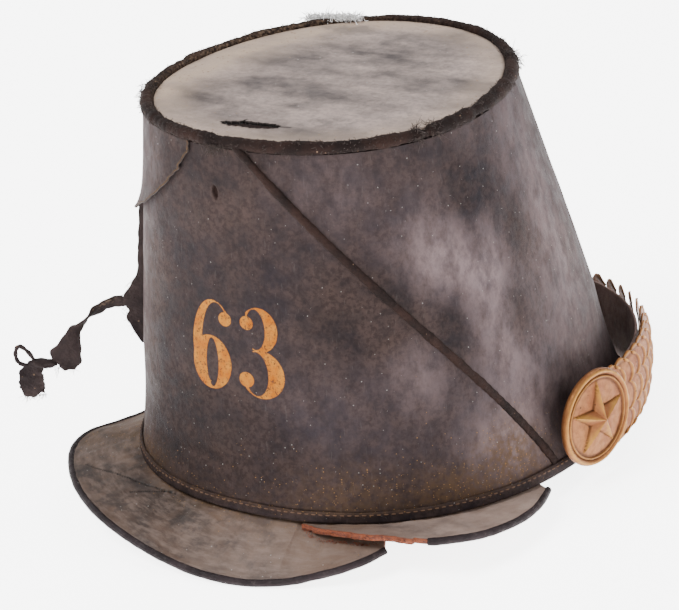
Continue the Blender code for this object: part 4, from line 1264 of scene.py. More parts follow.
def build_fray():
    """Short hairs all round the cord, with thick tufts at its sides, by the bite and low in front."""
    rng = np.random.default_rng(41)
    around = rng.uniform(0, 360, FRAY_COUNT)
    tufts = np.concatenate([
        rng.normal(-150, 1.6, 60),
        rng.normal(38, 1.8, 70),
        rng.normal(BITE_ANGLE - 3, 0.8, 60),
        rng.normal(BITE_ANGLE + 3, 0.8, 40),
        rng.normal(-94, 1.6, LOW_TUFT_COUNT),
    ])
    degrees = np.concatenate([around, tufts])
    turn = rng.uniform(-60, 150, len(degrees))
    turn[-LOW_TUFT_COUNT:] = rng.uniform(-80, -20, LOW_TUFT_COUNT)
    root = binding_place(degrees, turn, 0.94)
    lean = root - binding_place(degrees, turn, 0.5)
    length = np.where(np.arange(len(degrees)) < FRAY_COUNT, FRAY_LENGTH, TUFT_LENGTH)
    piece = fibres("cord_fray", root, lean, length, 0.10 * MM, dark_fibre, 42, curl=0.6, droop=0.3)
    return seat(piece)


def build_wadding():
    """White wadding that has come out between the top and its cord, at the back on the right."""
    rng = np.random.default_rng(51)
    share = rng.uniform(0, 1, WADDING_COUNT)
    (start_x, start_y), (end_x, end_y) = top_points(WADDING_ROWS)
    x = start_x + (end_x - start_x) * share + rng.normal(0, 1.2 * MM, WADDING_COUNT)
    y = start_y + (end_y - start_y) * share + rng.normal(0, 1.2 * MM, WADDING_COUNT)
    above = rng.uniform(-0.6, 0.3, WADDING_COUNT) * MM
    z = CROWN_HEIGHT + (y + TOP_FORWARD) * math.tan(TOP_TILT) + above
    roots = np.stack([x, y, z], axis=-1)
    lean = rng.normal(size=(WADDING_COUNT, 3)) * (1.3, 0.8, 0.25)
    piece = fibres("wadding", roots, lean, 2.8 * MM, 0.15 * MM, white_fibre, 52, curl=0.5)
    return seat(piece)


cord_piece = build_binding()
fray_piece = build_fray()
wadding_piece = build_wadding()
print("cord:", [len(p.data.polygons) for p in (cord_piece, fray_piece, wadding_piece)], "faces")

# %% [markdown]
# ## Hem and piped seam
# The cloth is turned up round the base and stitched. Over the seam at each side lies a flat brown cord,
# which sweeps forward as it climbs. On the wearer's right only its foot remains.

# %% The hem, its stitches and the piping
HEM_LIFT = 0.7 * MM
HEM_HEIGHT = 4.2 * MM
STITCH_HEIGHT = 3.9 * MM
STITCH_LENGTH = 1.872 * MM
STITCH_RADIUS = 0.26 * MM
STITCH_COUNT = 228
PIPING_WIDTH = 3.2 * MM
PIPING_HEIGHT = 1.6 * MM
PIPING_REMAINS = 0.25


def plain_wear(grid, bloom_and_sheen, dust):
    """The attributes of oilcloth that has no figure on it and no tear."""
    values = {"number_edge": NO_FIGURE, "bloom_and_sheen": bloom_and_sheen, "dust": dust, "torn_edge_and_shade": 0.0}
    return {label: np.broadcast_to(value, grid.shape[:2]) for label, value in values.items()}


def build_hem():
    """A flat rounded band a little proud of the wall."""
    degrees = np.arange(0, 360, 0.6)[:, None]
    loop = rounded(HEM_THICKNESS / 2, HEM_HEIGHT / 2, 16, 3.2)
    wave = 0.10 * MM * ripples(wall_line(degrees, 0.0), 61, 5 * MM, 30 * MM)
    height = HEM_LIFT + HEM_HEIGHT / 2 + loop[:, 1] + np.where(loop[:, 1] > 0, wave, 0)
    grid = crown(degrees, height, GAP + HEM_THICKNESS / 2 + loop[:, 0])
    above = rise_between(loop[:, 1], 0, HEM_HEIGHT / 2)
    front = hump(near_angle(degrees, -70), 0, 70)
    wear = plain_wear(grid, 0.02, np.clip(0.06 + 0.4 * above * front, 0, 1))
    piece = make_ring("turned_hem", grid, oilcloth, wear)
    return seat(piece, "base_hem")


def build_stitches():
    """A row of thread stitches pressed into the hem, each a short arched tube."""
    fine = np.arange(0, 360.1, 0.25)
    run = lengths(crown(fine, STITCH_HEIGHT, GAP + HEM_THICKNESS))
    middle = (np.arange(STITCH_COUNT) + 0.5) * run[-1] / STITCH_COUNT
    along = np.linspace(-0.5, 0.5, 7)
    reach = middle[:, None] + along * STITCH_LENGTH
    angle = np.interp(reach, run, fine)
    outset = GAP + HEM_THICKNESS - 0.22 * MM + 0.30 * MM * (1 - (2 * along) ** 2)
    paths = crown(angle, STITCH_HEIGHT, np.broadcast_to(outset, angle.shape))
    radii = np.broadcast_to(STITCH_RADIUS * np.sqrt(np.clip(1 - (2 * along) ** 4, 0, 1)), angle.shape)
    return seat(threads("hem_stitches", paths, radii, stitch_thread, 6))


def build_piping(name, low, high, mirror, node):
    """A flattened cord with a faint twist, along the seam from one height to another."""
    height = np.linspace(low, high, 300 if mirror > 0 else 80)
    angle = seam_angle(height)
    path = crown(angle, height, GAP)
    turn = full_turn(16)
    twist = 1 + 0.05 * np.cos(height[:, None] / (0.5 * MM) + 2 * turn)
    twist = twist * (1 + 0.07 * ripples(path, 71, 4 * MM, 15 * MM))[:, None]
    side = PIPING_WIDTH / 2 * np.cos(turn) * twist
    rise = PIPING_HEIGHT * 0.8 * np.clip(np.sin(turn), 0, 1) ** 0.8 * twist
    grid = sweep(path, outward(angle, height), np.stack([side, rise], axis=-1))
    piece = weld(make_sheet(name, grid * (mirror, 1, 1), [brown_wool], around=True))
    return seat(piece, node)


hem_piece = build_hem()
stitch_piece = build_stitches()
piping_foot = HEM_LIFT + HEM_HEIGHT + 2 * GAP
piping_left = build_piping("piping_left", piping_foot, wall_top + PIPING_WIDTH / 2, 1, "side_piping_left")
piping_end = PIPING_REMAINS * CROWN_HEIGHT
piping_right = build_piping("piping_right", piping_foot, piping_end, -1, "side_piping_right")
hem_pieces = (hem_piece, stitch_piece, piping_left, piping_right)
print("hem, stitches and piping:", [len(piece.data.polygons) for piece in hem_pieces], "faces")

# %% [markdown]
# ## Torn oilcloth on the wearer's right
# Below the cord a corner of cloth has come away. It lies nearly flat at the back and stands off along
# its torn front edge, where its lighter inside shows. Further down, the edge of the lining stands out of
# the tear.

# %% The flap and the torn lining

# Height as a share of CROWN_HEIGHT, front and back angle in degrees, lift of the front edge as a share
FLAP_ROWS = (
    (0.955, -103.0, -119.0, 0.10),
    (0.905, -106.5, -130.0, 0.20),
    (0.855, -111.5, -139.0, 0.30),
    (0.810, -117.5, -146.0, 0.42),
    (0.770, -124.0, -151.0, 0.58),
    (0.735, -131.5, -155.0, 0.78),
    (0.700, -139.5, -157.0, 1.00),
)
FLAP_LIFT = 3.0 * MM
FLAP_THICKNESS = 0.6 * MM
FLAP_MEAN_RADIUS = 75 * MM

# Height as a share of CROWN_HEIGHT, angle in degrees, stand-off as a share of LINING_STAND
LINING_ROWS = (
    (0.280, -146.5, 0.10),
    (0.315, -146.0, 0.50),
    (0.355, -145.5, 0.84),
    (0.395, -145.0, 1.00),
    (0.430, -144.5, 0.95),
    (0.462, -144.0, 0.74),
    (0.490, -143.5, 0.36),
    (0.530, -143.0, 0.28),
    (0.600, -142.5, 0.26),
    (0.680, -142.0, 0.20),
    (0.725, -141.0, 0.20),
)
LINING_STAND = 6.8 * MM
LINING_THICKNESS = 0.9 * MM
LINING_MEAN_RADIUS = 80 * MM


def build_flap():
    """Rows of points from the torn front edge to the seated back edge, down from the cord."""
    share = np.linspace(0.976, FLAP_ROWS[-1][0], 90)
    front, back, lift = follow(FLAP_ROWS, share).T
    back = np.minimum(back, -150)
    across = np.linspace(0, 1, 60)[None, :] ** 1.3
    height = (share * CROWN_HEIGHT)[:, None]
    ragged = 0.5 * MM * ripples(height, 81, 2 * MM, 9 * MM)[:, None]
    angle = front[:, None] + (back - front)[:, None] * across
    angle = angle - np.degrees(ragged / FLAP_MEAN_RADIUS) * (1 - across) ** 4
    curl = lift[:, None] * FLAP_LIFT * (1 - across) ** 3
    seated = crown_relief(angle, height) + 0.2 * MM + 0.6 * MM * (1 - across)
    grid = crown(angle, height, seated + curl)
    bare = 1 - rise_between(across * (front - back)[:, None], 0.25, 0.8)
    wear = plain_wear(grid, crown_bloom_and_sheen(angle, height), np.clip(bare * 1.2, 0, 1))
    piece = make_sheet("loose_flap", grid, [oilcloth, dark_fibre], attributes=wear)
    thicken(piece, FLAP_THICKNESS, rim_slot=1)
    return seat(piece, "torn_flap")


def build_lining():
    """A thin sheet that stands straight out of the tear, with a ragged outer edge."""
    share = np.linspace(LINING_ROWS[0][0], LINING_ROWS[-1][0], 160)
    angle, stand = follow(LINING_ROWS, share).T
    height = share * CROWN_HEIGHT
    ragged = 1 + 0.09 * ripples(height[:, None], 83, 5 * MM, 24 * MM)
    edge = WALL + GAP + LINING_STAND * np.maximum(stand, 0.05) * ragged
    reach = np.linspace(0, 1, 26)[None, :] * edge[:, None]
    wave = 0.5 * MM * np.cos(share * 60)[:, None] * reach / LINING_STAND
    grid = crown(angle[:, None] + np.degrees(wave / LINING_MEAN_RADIUS), height[:, None], reach - WALL)
    piece = make_sheet("torn_lining", grid, [tie_wool])
    thicken(piece, LINING_THICKNESS, offset=0.0)
    return seat(piece, "torn_strip")


flap_piece = build_flap()
lining_piece = build_lining()
print("torn cloth:", len(flap_piece.data.polygons), len(lining_piece.data.polygons), "faces")

# %% [markdown]
# ## Visor
# A crescent of leather with a narrow dark leather edge. It has torn across at the wearer's left: the
# smaller part has bent up, and its torn edge shows the rust-red inside of the hide. The bigger part has
# two cracks that run in from its right side and meet by the crown.

# %% The visor's leather
VISOR_THICKNESS = 2.0 * MM
VISOR_REACH = 30 * MM
VISOR_DROP = 13 * MM
VISOR_BEND = 1.15
CRACK_DEPTH = 0.45 * MM
EDGE_WIDTH = 3.0 * MM
TORN_RIM_ANGLE = -53.0
UNDER_CROWN = 2.2 * MM
UNDER_TEAR = 4.5 * MM
MAIN_SPAN = (-165.0, -57.6)
BROKEN_SPAN = (-76.8, -16.3)
HIDE_COUNT = 150

# Angle in degrees, inner edge and reach as shares of VISOR_REACH, drop as a share of VISOR_DROP
MAIN_ROWS = (
    (-166.0, 0.00, 0.10, 0.10),
    (-160.0, 0.00, 0.27, 0.11),
    (-154.0, 0.00, 0.48, 0.02),
    (-148.0, 0.00, 0.73, -0.10),
    (-141.0, 0.00, 0.90, -0.16),
    (-133.0, 0.00, 0.98, -0.13),
    (-124.0, 0.00, 1.03, 0.00),
    (-115.0, 0.00, 1.04, 0.20),
    (-106.0, 0.00, 1.00, 0.50),
    (-98.0, 0.00, 0.98, 0.74),
    (-91.0, 0.00, 0.96, 0.92),
    (-84.0, 0.00, 0.90, 1.00),
    (-78.0, 0.03, 0.83, 0.94),
    (-75.0, 0.12, 0.80, 0.87),
    (-72.0, 0.21, 0.76, 0.77),
    (-69.0, 0.23, 0.73, 0.66),
    (-66.0, 0.26, 0.71, 0.54),
    (-61.0, 0.32, 0.60, 0.37),
    (-57.5, 0.34, 0.47, 0.26),
)
BROKEN_ROWS = (
    (-75.5, 0.00, 0.07, 0.00),
    (-73.0, 0.00, 0.17, -0.05),
    (-69.0, 0.00, 0.26, -0.10),
    (-65.0, 0.00, 0.35, -0.14),
    (-61.0, 0.00, 0.46, -0.18),
    (-57.0, 0.00, 0.54, -0.21),
    (-54.0, 0.00, 0.66, -0.22),
    (-50.0, 0.00, 0.80, -0.23),
    (-45.0, 0.00, 0.84, -0.23),
    (-40.0, 0.00, 0.80, -0.16),
    (-34.0, 0.00, 0.69, -0.09),
    (-29.0, 0.00, 0.57, -0.03),
    (-24.0, 0.00, 0.43, 0.00),
    (-19.5, 0.00, 0.27, 0.03),
    (-16.0, 0.00, 0.14, 0.05),
)

# The two cracks, from the rim inwards, as angle in degrees and level reach in mm
CRACK_ROWS = (
    ((-131.5, 22.5), (-127.0, 14.6), (-122.8, 9.9), (-117.0, 5.8), (-109.8, 1.8)),
    ((-117.0, 14.2), (-114.8, 7.9), (-111.0, 1.3)),
)


def visor_place(degrees, level_reach, drop, reach):
    """A point of the upper face: it falls by a power of its share of the way to the rim."""
    share = np.clip(level_reach / reach, 0, 1)
    point = crown(degrees, 0.0, GAP + level_reach)
    point[..., 2] -= drop * share**VISOR_BEND
    return point


def visor_rim(rows, degrees):
    """The rim's points, and the level direction out of it at each."""
    _, reach, drop = follow(rows, degrees).T
    rim = visor_place(degrees, reach * VISOR_REACH, drop * VISOR_DROP, reach * VISOR_REACH)
    along = np.gradient(rim, axis=0)
    return rim, unit(np.stack([along[:, 1], -along[:, 0], 0 * along[:, 0]], axis=-1))


def build_visor_part(name, node, rows, span, bound_from, seed):
    """Rows of points from the crown or the tear out to the tear or, from an angle on, the bound edge."""
    degrees = np.linspace(*span, 300)
    inner, reach, drop = follow(rows, degrees).T
    inner = np.maximum(inner, 0)
    rim, out = visor_rim(rows, degrees)
    torn_in = rise_between(inner, 0.0, 0.06)
    torn_out = degrees < bound_from
    rag = 0.35 * MM * ripples(degrees[:, None], seed, 1.2, 6.0)
    seam = visor_place(degrees, inner * VISOR_REACH, drop * VISOR_DROP, reach * VISOR_REACH)
    first = inner * VISOR_REACH - UNDER_CROWN + rag * torn_in - (UNDER_TEAR - UNDER_CROWN) * torn_in
    root = crown(degrees, 0.0, GAP + first)
    root[:, 2] = seam[:, 2] - 0.15 * MM
    edge = rim - out * np.where(torn_out, np.maximum(rag, 0), EDGE_WIDTH * 0.6)[:, None]
    share = np.linspace(0, 1, 48)
    grid = root[:, None] + (edge - root)[:, None] * share[None, :, None]
    sag = (drop * VISOR_DROP)[:, None] * (share - share**VISOR_BEND)
    grid[..., 2] += sag * (inner < 0.03)[:, None]
    flat = grid[..., :2]
    crack = np.zeros(flat.shape[:2])
    for line in CRACK_ROWS:
        angles, reaches = np.array(line).T
        spots = crown(angles, 0.0, GAP + reaches * MM)[:, :2]
        off = line_distance(flat[..., 0], flat[..., 1], [tuple(spot) for spot in spots])
        off = off + 0.12 * MM * ripples(flat, seed + 1, 1.5 * MM, 5 * MM)
        crack = np.maximum(crack, 1 - rise_between(off, 0.10 * MM, 0.55 * MM))
    width = np.linalg.norm(edge - root, axis=1)[:, None]
    from_root = share * width
    from_edge = (1 - share) * width
    fade = rise_between(from_root, 0, 3 * MM) * rise_between(from_edge, 0, 3 * MM)
    lift = 0.28 * MM * ripples(flat, seed + 2, 14 * MM, 50 * MM)
    lift += 0.08 * MM * ripples(flat, seed + 3, 3 * MM, 9 * MM)
    grid[..., 2] += (lift - CRACK_DEPTH * crack) * fade
    raw_in = 0.6 * torn_in[:, None] * (1 - rise_between(from_root, 0.3 * MM, 1.3 * MM))
    raw_out = torn_out[:, None] * (1 - rise_between(from_edge, 0.2 * MM, 1.0 * MM))
    turn = degrees[:, None]
    warm = np.exp(-from_root / (4.0 * MM)) * (0.35 + 0.65 * hump(turn, -88, 34))
    pale = np.clip(0.22 * hump(turn, -80, 14) + 0.6 * rise_between(turn, -70, -50), 0, 1)
    attributes = {
        "crack": crack,
        "raw": np.clip(raw_in + raw_out, 0, 1),
        "dust": np.clip(warm + 0.35 * hump(turn, -147, 9), 0, 1),
        "smudge": 0.75 * hump(turn, -118.5, 5.5) * hump(from_root, 9.5 * MM, 5.5 * MM),
        "pale": np.broadcast_to(pale, crack.shape),
    }
    piece = make_sheet(name, grid, [visor_leather, torn_leather], attributes=attributes)
    thicken(piece, VISOR_THICKNESS, rim_slot=1)
    return seat(piece, node)


def build_visor_edge(name, node, rows, start, end, seed):
    """The bound edge: a rounded bar along the rim with a seam line on its upper face."""
    degrees = np.linspace(start, end, 340)
    rim, out = visor_rim(rows, degrees)
    path = rim - out * EDGE_WIDTH / 2 - (0, 0, VISOR_THICKNESS / 2)
    turn = full_turn(20)
    swell = 1 + 0.035 * ripples(path, seed, 4 * MM, 14 * MM)[:, None]
    seam = 1 - 0.10 * hump(turn, 2.2, 0.25)
    profile = circle(turn, swell * seam) * EDGE_WIDTH * 0.48
    piece = weld(make_sheet(name, sweep(path, (0, 0, 1), profile), [edge_leather], around=True))
    return seat(piece, node)


def build_torn_fibres():
    """Short hairs of hide along both torn edges."""
    rng = np.random.default_rng(95)
    spots = []
    for rows, start, end, outer in ((MAIN_ROWS, -76, -59, False), (BROKEN_ROWS, -74, -54, True)):
        degrees = rng.uniform(start, end, HIDE_COUNT)
        inner, reach, drop = follow(rows, degrees).T
        level = (reach if outer else np.maximum(inner, 0)) * VISOR_REACH
        spots.append(visor_place(degrees, level, drop * VISOR_DROP, reach * VISOR_REACH))
    roots = np.concatenate(spots) - (0, 0, 1.0 * MM) + rng.normal(0, 0.3 * MM, (2 * HIDE_COUNT, 3))
    lean = rng.normal(size=roots.shape) + (0.3, -0.8, -0.3)
    piece = fibres("hide_fibres", roots, lean, 1.0 * MM, 0.10 * MM, torn_leather, 96, curl=0.4)
    return seat(piece)


visor_main = build_visor_part(
    "visor_leather_main", "visor_main_part", MAIN_ROWS, MAIN_SPAN, MAIN_SPAN[0], 91
)
visor_broken = build_visor_part(
    "visor_leather_broken", "visor_broken_part", BROKEN_ROWS, BROKEN_SPAN, TORN_RIM_ANGLE, 101
)
edge_main = build_visor_edge("bound_edge_main", "visor_binding_main", MAIN_ROWS, -166.0, -57.5, 92)
edge_broken = build_visor_edge(
    "bound_edge_broken", "visor_binding_broken", BROKEN_ROWS, TORN_RIM_ANGLE + 2.5, -16.0, 93
)
hide_piece = build_torn_fibres()
visor_pieces = (visor_main, visor_broken, edge_main, edge_broken, hide_piece)
print("visor:", [len(piece.data.polygons) for piece in visor_pieces], "faces")

# %% [markdown]
# ## Chin strap
# The strap is worn up round the back of the hat. Each half runs from its rosette to a lap at the back,
# where a leather loop holds both. The distance along the strap is measured once, as a table of lengths
# and angles, and everything on it is placed by that distance.

# %% The strap
STRAP_THICKNESS = 1.8 * MM
STRAP_WIDTH = 26 * MM
STRAP_END_WIDTH = 20 * MM
STRAP_RISE = 16.5 * MM
STRAP_START = 5 * MM
STRAP_LAP = 9 * MM
STRAP_HANG = 5.2 * MM
STRAP_END_HANG = 4.4 * MM
ROSETTE_ANGLE = -2.7
STRAP_OUTSET = GAP + HEM_THICKNESS + GAP

strap_angles = np.linspace(ROSETTE_ANGLE, ROSETTE_ANGLE + 130, 240)
strap_run = lengths(crown(strap_angles, 0.0, STRAP_OUTSET))
STRAP_HALF = float(np.interp(90, strap_angles, strap_run))


def strap_place(distance, outset):
    """A point at the strap's middle height, a level distance out from its inner face."""
    distance, outset = np.broadcast_arrays(distance, outset)
    point = crown(np.interp(distance, strap_run, strap_angles), 0.0, STRAP_OUTSET + outset)
    point[..., 2] = STRAP_RISE
    return point


def build_strap(name, node, side):
    """A band with rounded edges, a line pressed along each, and a lower edge that hangs a little."""
    distance = np.linspace(STRAP_START, STRAP_HALF + STRAP_LAP, 170)
    share = np.clip(distance / STRAP_HALF, 0, 1)
    half = (STRAP_WIDTH + (STRAP_END_WIDTH - STRAP_WIDTH) * share) / 2
    lap = rise_between(distance, STRAP_HALF - 2 * STRAP_LAP, STRAP_HALF - STRAP_LAP) * (side < 0)
    outset = lap * (STRAP_THICKNESS + GAP) + STRAP_THICKNESS / 2
    loop = rounded(STRAP_THICKNESS / 2, 1.0, 40, 4.0)
    line = 0.18 * MM * hump(np.abs(loop[:, 1]), 0.86, 0.035) * np.sign(loop[:, 0])
    outs = outset[:, None] + loop[:, 0] - line
    grid = strap_place(distance[:, None], outs)
    before_lap = 1 - rise_between(distance, STRAP_HALF - 24 * MM, STRAP_HALF - 11 * MM)
    low = (STRAP_HANG + (STRAP_END_HANG - STRAP_HANG) * share) * before_lap
    grid[..., 2] += half[:, None] * loop[:, 1] - low[:, None] * (1 - loop[:, 1]) / 2
    piece = weld(make_sheet(name, close_ends(grid) * (side, 1, 1), [strap_leather], around=True))
    return seat(piece, node)


build_strap("strap_half_left", "chin_strap_left", 1)
build_strap("strap_half_right", "chin_strap_right", -1)
keeper = nodes["strap_keeper"]
keeper.data.materials.clear()
keeper.data.materials.append(strap_leather)
keeper_edge = keeper.modifiers.new("worn_edges", "BEVEL")
keeper_edge.width = 0.4 * MM
keeper_edge.segments = 3
print("strap half", round(STRAP_HALF / MM, 1), "mm long")

# %% [markdown]
# ### Brass scales
# Each scale is stamped from thin sheet: domed across, with three round lobes and a raised border just
# inside its edge. It is rooted under the one in front and rises over the one behind. One function makes
# the left one at a place along the strap, and its mirror image on the right.

# %% The scales
SCALE_COUNT = 17
SCALE_PITCH = 8.1 * MM
SCALE_START = 8.5 * MM
SCALE_LENGTH = 15.0 * MM
SCALE_WIDTH = 34 * MM
SCALE_END_WIDTH = 24 * MM
SCALE_THICKNESS = 0.8 * MM
SCALE_SHEET = 0.45 * MM
SCALE_DOME = 1.2 * MM
LOBE_DEPTH = 4.2 * MM
LIP_RISE = 0.32 * MM
GROOVE_DEPTH = 0.16 * MM

# How far the plate reaches before its lobes, in its middle and at its sides, as shares of its length
MIDDLE_SHARE = 0.72
SIDE_SHARE = 0.55


def build_scale(index, side):
    """A grid across the plate and out to its lobed edge; three arcs of a circle make the lobes."""
    share = index / (SCALE_COUNT - 1)
    width = SCALE_WIDTH + (SCALE_END_WIDTH - SCALE_WIDTH) * share
    distance = SCALE_START + index * SCALE_PITCH
    root = strap_place(distance, STRAP_THICKNESS + GAP)
    step = SCALE_LENGTH / 4
    along = unit(strap_place(distance + step, 0.0) - strap_place(distance - step, 0.0))
    out = np.array([along[1], -along[0], 0])
    across = np.linspace(-1, 1, 43)
    in_lobe = (across * 3 + 3) % 2 - 1
    bay = np.sqrt(np.clip(1 - (0.97 * in_lobe) ** 2, 0, 1))
    plate = SIDE_SHARE + (MIDDLE_SHARE - SIDE_SHARE) * (1 - np.abs(across) ** 2.2)
    tip = SCALE_LENGTH * plate + LOBE_DEPTH * bay
    reach = np.linspace(0, 1, 26)[:, None] * tip
    inside = np.minimum(tip - reach, (1 - np.abs(across)) * width / 2)
    lip = hump(inside, 0.75 * MM, 0.55 * MM)
    groove = hump(inside, 2.1 * MM, 0.45 * MM)
    rise = (SCALE_THICKNESS + 2 * GAP) / SCALE_PITCH * reach + SCALE_DOME * (1 - across**2)
    rise = rise + SCALE_SHEET + LIP_RISE * lip - GROOVE_DEPTH * groove
    petal = np.sin(np.pi * np.clip(reach / tip, 0, 1) ** 1.5)
    taper = 1 - 0.17 * (1 - petal) * np.abs(across) ** 3
    grid = root + along * reach[..., None] + out * rise[..., None]
    grid[..., 2] += width / 2 * across * taper
    # The lip is rubbed bright and carries a painted highlight
    wear = {"rubbed_and_highlight": 0.8 * lip, "sunk": np.clip(groove + hump(reach, 0, 5 * MM), 0, 1)}
    node = f"scale_{'left' if side > 0 else 'right'}_{index + 1:02d}"
    piece = make_sheet("lobed_" + node, grid * (side, 1, 1), [brass], flip=side > 0, attributes=wear)
    thicken(piece, SCALE_SHEET)
    return seat(piece, node)


scale_pieces = [build_scale(index, side) for index in range(SCALE_COUNT) for side in (1, -1)]
print(len(scale_pieces), "scales of", len(scale_pieces[0].data.polygons), "faces")

# %% [markdown]
# ### Rosettes
# A rosette is turned and then stamped with a star, and hides where the strap is fixed to the crown. The
# surface is a profile spun round its axis. The star's height is one less the distance from the middle as
# a share of the star's outline at that angle, so that its ridges run to the tips.

# %% The rosettes
ROSETTE_STAND = 7.1 * MM
ROSETTE_RISE = 19 * MM
ROSETTE_RADIUS = 18.8 * MM
ROSETTE_YAW = math.radians(-10.8)
ROSETTE_THICKNESS = 2.0 * MM
SHANK_RADIUS = 3 * MM
SHANK_LENGTH = 0.62 * (ROSETTE_STAND + ROSETTE_THICKNESS)
STAR_RADIUS = 14.4 * MM
STAR_INNER_RADIUS = 5.2 * MM
STAR_HEIGHT = 5.0 * MM

# The back, from the shank's end to the rim: radius and height in metres
BACK_ROWS = (
    (0.0, -SHANK_LENGTH),
    (0.98 * SHANK_RADIUS, -SHANK_LENGTH),
    (SHANK_RADIUS, -0.9 * ROSETTE_THICKNESS),
    (0.5 * ROSETTE_RADIUS, -0.8 * ROSETTE_THICKNESS),
    (0.95 * ROSETTE_RADIUS, -0.85 * ROSETTE_THICKNESS),
    (0.99 * ROSETTE_RADIUS, -0.5 * ROSETTE_THICKNESS),
)

# The face from its middle out: radius as a share of ROSETTE_RADIUS, height as one of ROSETTE_THICKNESS
FACE_ROWS = (
    (0.000, 0.62),
    (0.500, 0.52),
    (0.760, 0.36),
    (0.800, 0.30),
    (0.825, 0.62),
    (0.850, 0.66),
    (0.872, 0.34),
    (0.900, 0.60),
    (0.945, 0.78),
    (0.985, 0.50),
    (1.000, 0.05),
)


def star_outline(angle):
    """The star's radius at an angle: the straight line between a tip and the next inner corner."""
    off = np.abs((angle - np.pi / 2 + np.pi / 5) % (2 * np.pi / 5) - np.pi / 5)
    corner = np.pi / 5
    across = STAR_RADIUS * np.sin(off) + STAR_INNER_RADIUS * np.sin(corner - off)
    return STAR_RADIUS * STAR_INNER_RADIUS * math.sin(corner) / across


def build_rosette(name, node, side):
    """Rings of points from the shank's end round the back and the rim to the star's peak."""
    facing = np.array([math.cos(ROSETTE_YAW), math.sin(ROSETTE_YAW), 0])
    sideways = np.cross((0, 0, 1), facing)
    foot = crown(ROSETTE_ANGLE, 0.0)
    centre = np.array([foot[0], foot[1], ROSETTE_RISE]) + facing * ROSETTE_STAND
    turn = full_turn(160)
    share = np.linspace(1, 0, 96)[:, None]
    radius = share * ROSETTE_RADIUS
    face = follow(FACE_ROWS, share[:, 0]) * ROSETTE_THICKNESS
    rings = np.concatenate([BACK_ROWS, np.hstack([radius, face])])
    outline = star_outline(turn)
    inside = outline - radius
    star = (STAR_HEIGHT - FACE_ROWS[0][1] * ROSETTE_THICKNESS) * np.clip(inside / outline, 0, 1) ** 0.95
    star = star + 0.45 * MM * rise_between(inside, 0.0, 0.45 * MM)
    dents = 0.05 * MM * ripples(circle(turn, radius), 111, 3 * MM, 9 * MM)
    height = np.repeat(rings[:, 1:], len(turn), axis=1)
    height[len(BACK_ROWS) :] += star + dents
    level = np.cos(turn)[:, None] * sideways + np.sin(turn)[:, None] * np.array([0, 0, 1])
    grid = centre + rings[:, :1, None] * level + height[..., None] * facing
    # The rim's ridges and the star's tips: rubbed brass with a painted highlight
    tips = (inside > 0) * np.abs(np.cos(2.5 * (turn - np.pi / 2))) ** 12
    ridge = hump(share, 0.95, 0.03) + 0.6 * hump(share, 0.84, 0.02) + tips
    groove = hump(share, 0.79, 0.03) + hump(share, 0.873, 0.015) + hump(inside, 0, 0.4 * MM)
    wear = {"rubbed_and_highlight": np.zeros(height.shape), "sunk": np.zeros(height.shape)}
    wear["rubbed_and_highlight"][len(BACK_ROWS) :] = np.clip(ridge, 0, 1)
    wear["sunk"][len(BACK_ROWS) :] = np.clip(groove, 0, 1)
    piece = weld(make_sheet(name, grid * (side, 1, 1), [brass], around=True, attributes=wear))
    return seat(piece, node)


rosette_left = build_rosette("star_rosette_left", "rosette_left", 1)
build_rosette("star_rosette_right", "rosette_right", -1)
print("rosettes:", len(rosette_left.data.polygons), "faces each")

# %% [markdown]
# ## The knotted strip of cloth
# A strip of the dark lining hangs out of the tear. It narrows, twists over to show a paler side, dusty and
# with a painted highlight, then spreads into a ragged piece, and beyond a knot ends in a short tail and a
# small loop.

# %% The cloth tie
TIE_ANGLE = -145.0
TIE_HEIGHT = 60.8 * MM
TIE_REACH = 43 * MM
TIE_WIDTH = 11 * MM
TIE_THICKNESS = 0.7 * MM

# The strip lies across this direction, the camera's own, so that its outline is drawn as it is seen
TIE_VIEW = math.radians(34.2)

# Reach and rise as shares of TIE_REACH, width as a share of TIE_WIDTH, turn about its length in degrees
TIE_ROWS = (
    (0.010, -0.030, 0.46, 10.0),
    (0.085, -0.035, 0.48, 20.0),
    (0.180, -0.062, 0.54, 36.0),
    (0.270, -0.120, 0.52, 54.0),
    (0.350, -0.182, 0.46, 66.0),
    (0.415, -0.240, 0.44, 46.0),
    (0.475, -0.310, 0.56, 22.0),
    (0.520, -0.425, 0.82, 8.0),
    (0.555, -0.535, 1.08, 0.0),
    (0.590, -0.640, 0.76, 0.0),
)
TAIL_ROWS = (
    (0.850, -0.590, 0.70, 6.0),
    (0.880, -0.700, 0.84, 4.0),
    (0.875, -0.790, 0.86, 0.0),
    (0.855, -0.880, 0.66, -6.0),
)
LOOP_ROWS = (
    (0.825, -0.575),
    (0.880, -0.470),
    (0.955, -0.400),
    (0.995, -0.440),
    (0.995, -0.520),
    (0.955, -0.570),
    (0.860, -0.588),
)
KNOT_REACH = 0.769
KNOT_RISE = -0.575
KNOT_HALF_LENGTH = 5.6 * MM
KNOT_RADIUS = 1.9 * MM
LOOP_CORD_RADIUS = 0.78 * MM

tie_away = np.array([-math.cos(TIE_VIEW), -math.sin(TIE_VIEW), 0])
tie_front = np.array([math.sin(TIE_VIEW), -math.cos(TIE_VIEW), 0])
tie_start = crown(TIE_ANGLE, TIE_HEIGHT, LINING_STAND + 2 * GAP)
knot_middle = tie_start + tie_away * KNOT_REACH * TIE_REACH + (0, 0, KNOT_RISE * TIE_REACH)


def tie_path(rows, count):
    """Points along the rows of a table in order, and the columns that follow reach and rise."""
    stations = [(i, *row) for i, row in enumerate(rows)]
    values = follow(stations, np.linspace(0, len(rows) - 1, count))
    path = tie_start + tie_away * values[:, :1] * TIE_REACH + (0, 0, 1) * values[:, 1:2] * TIE_REACH
    return path, values[:, 2:]


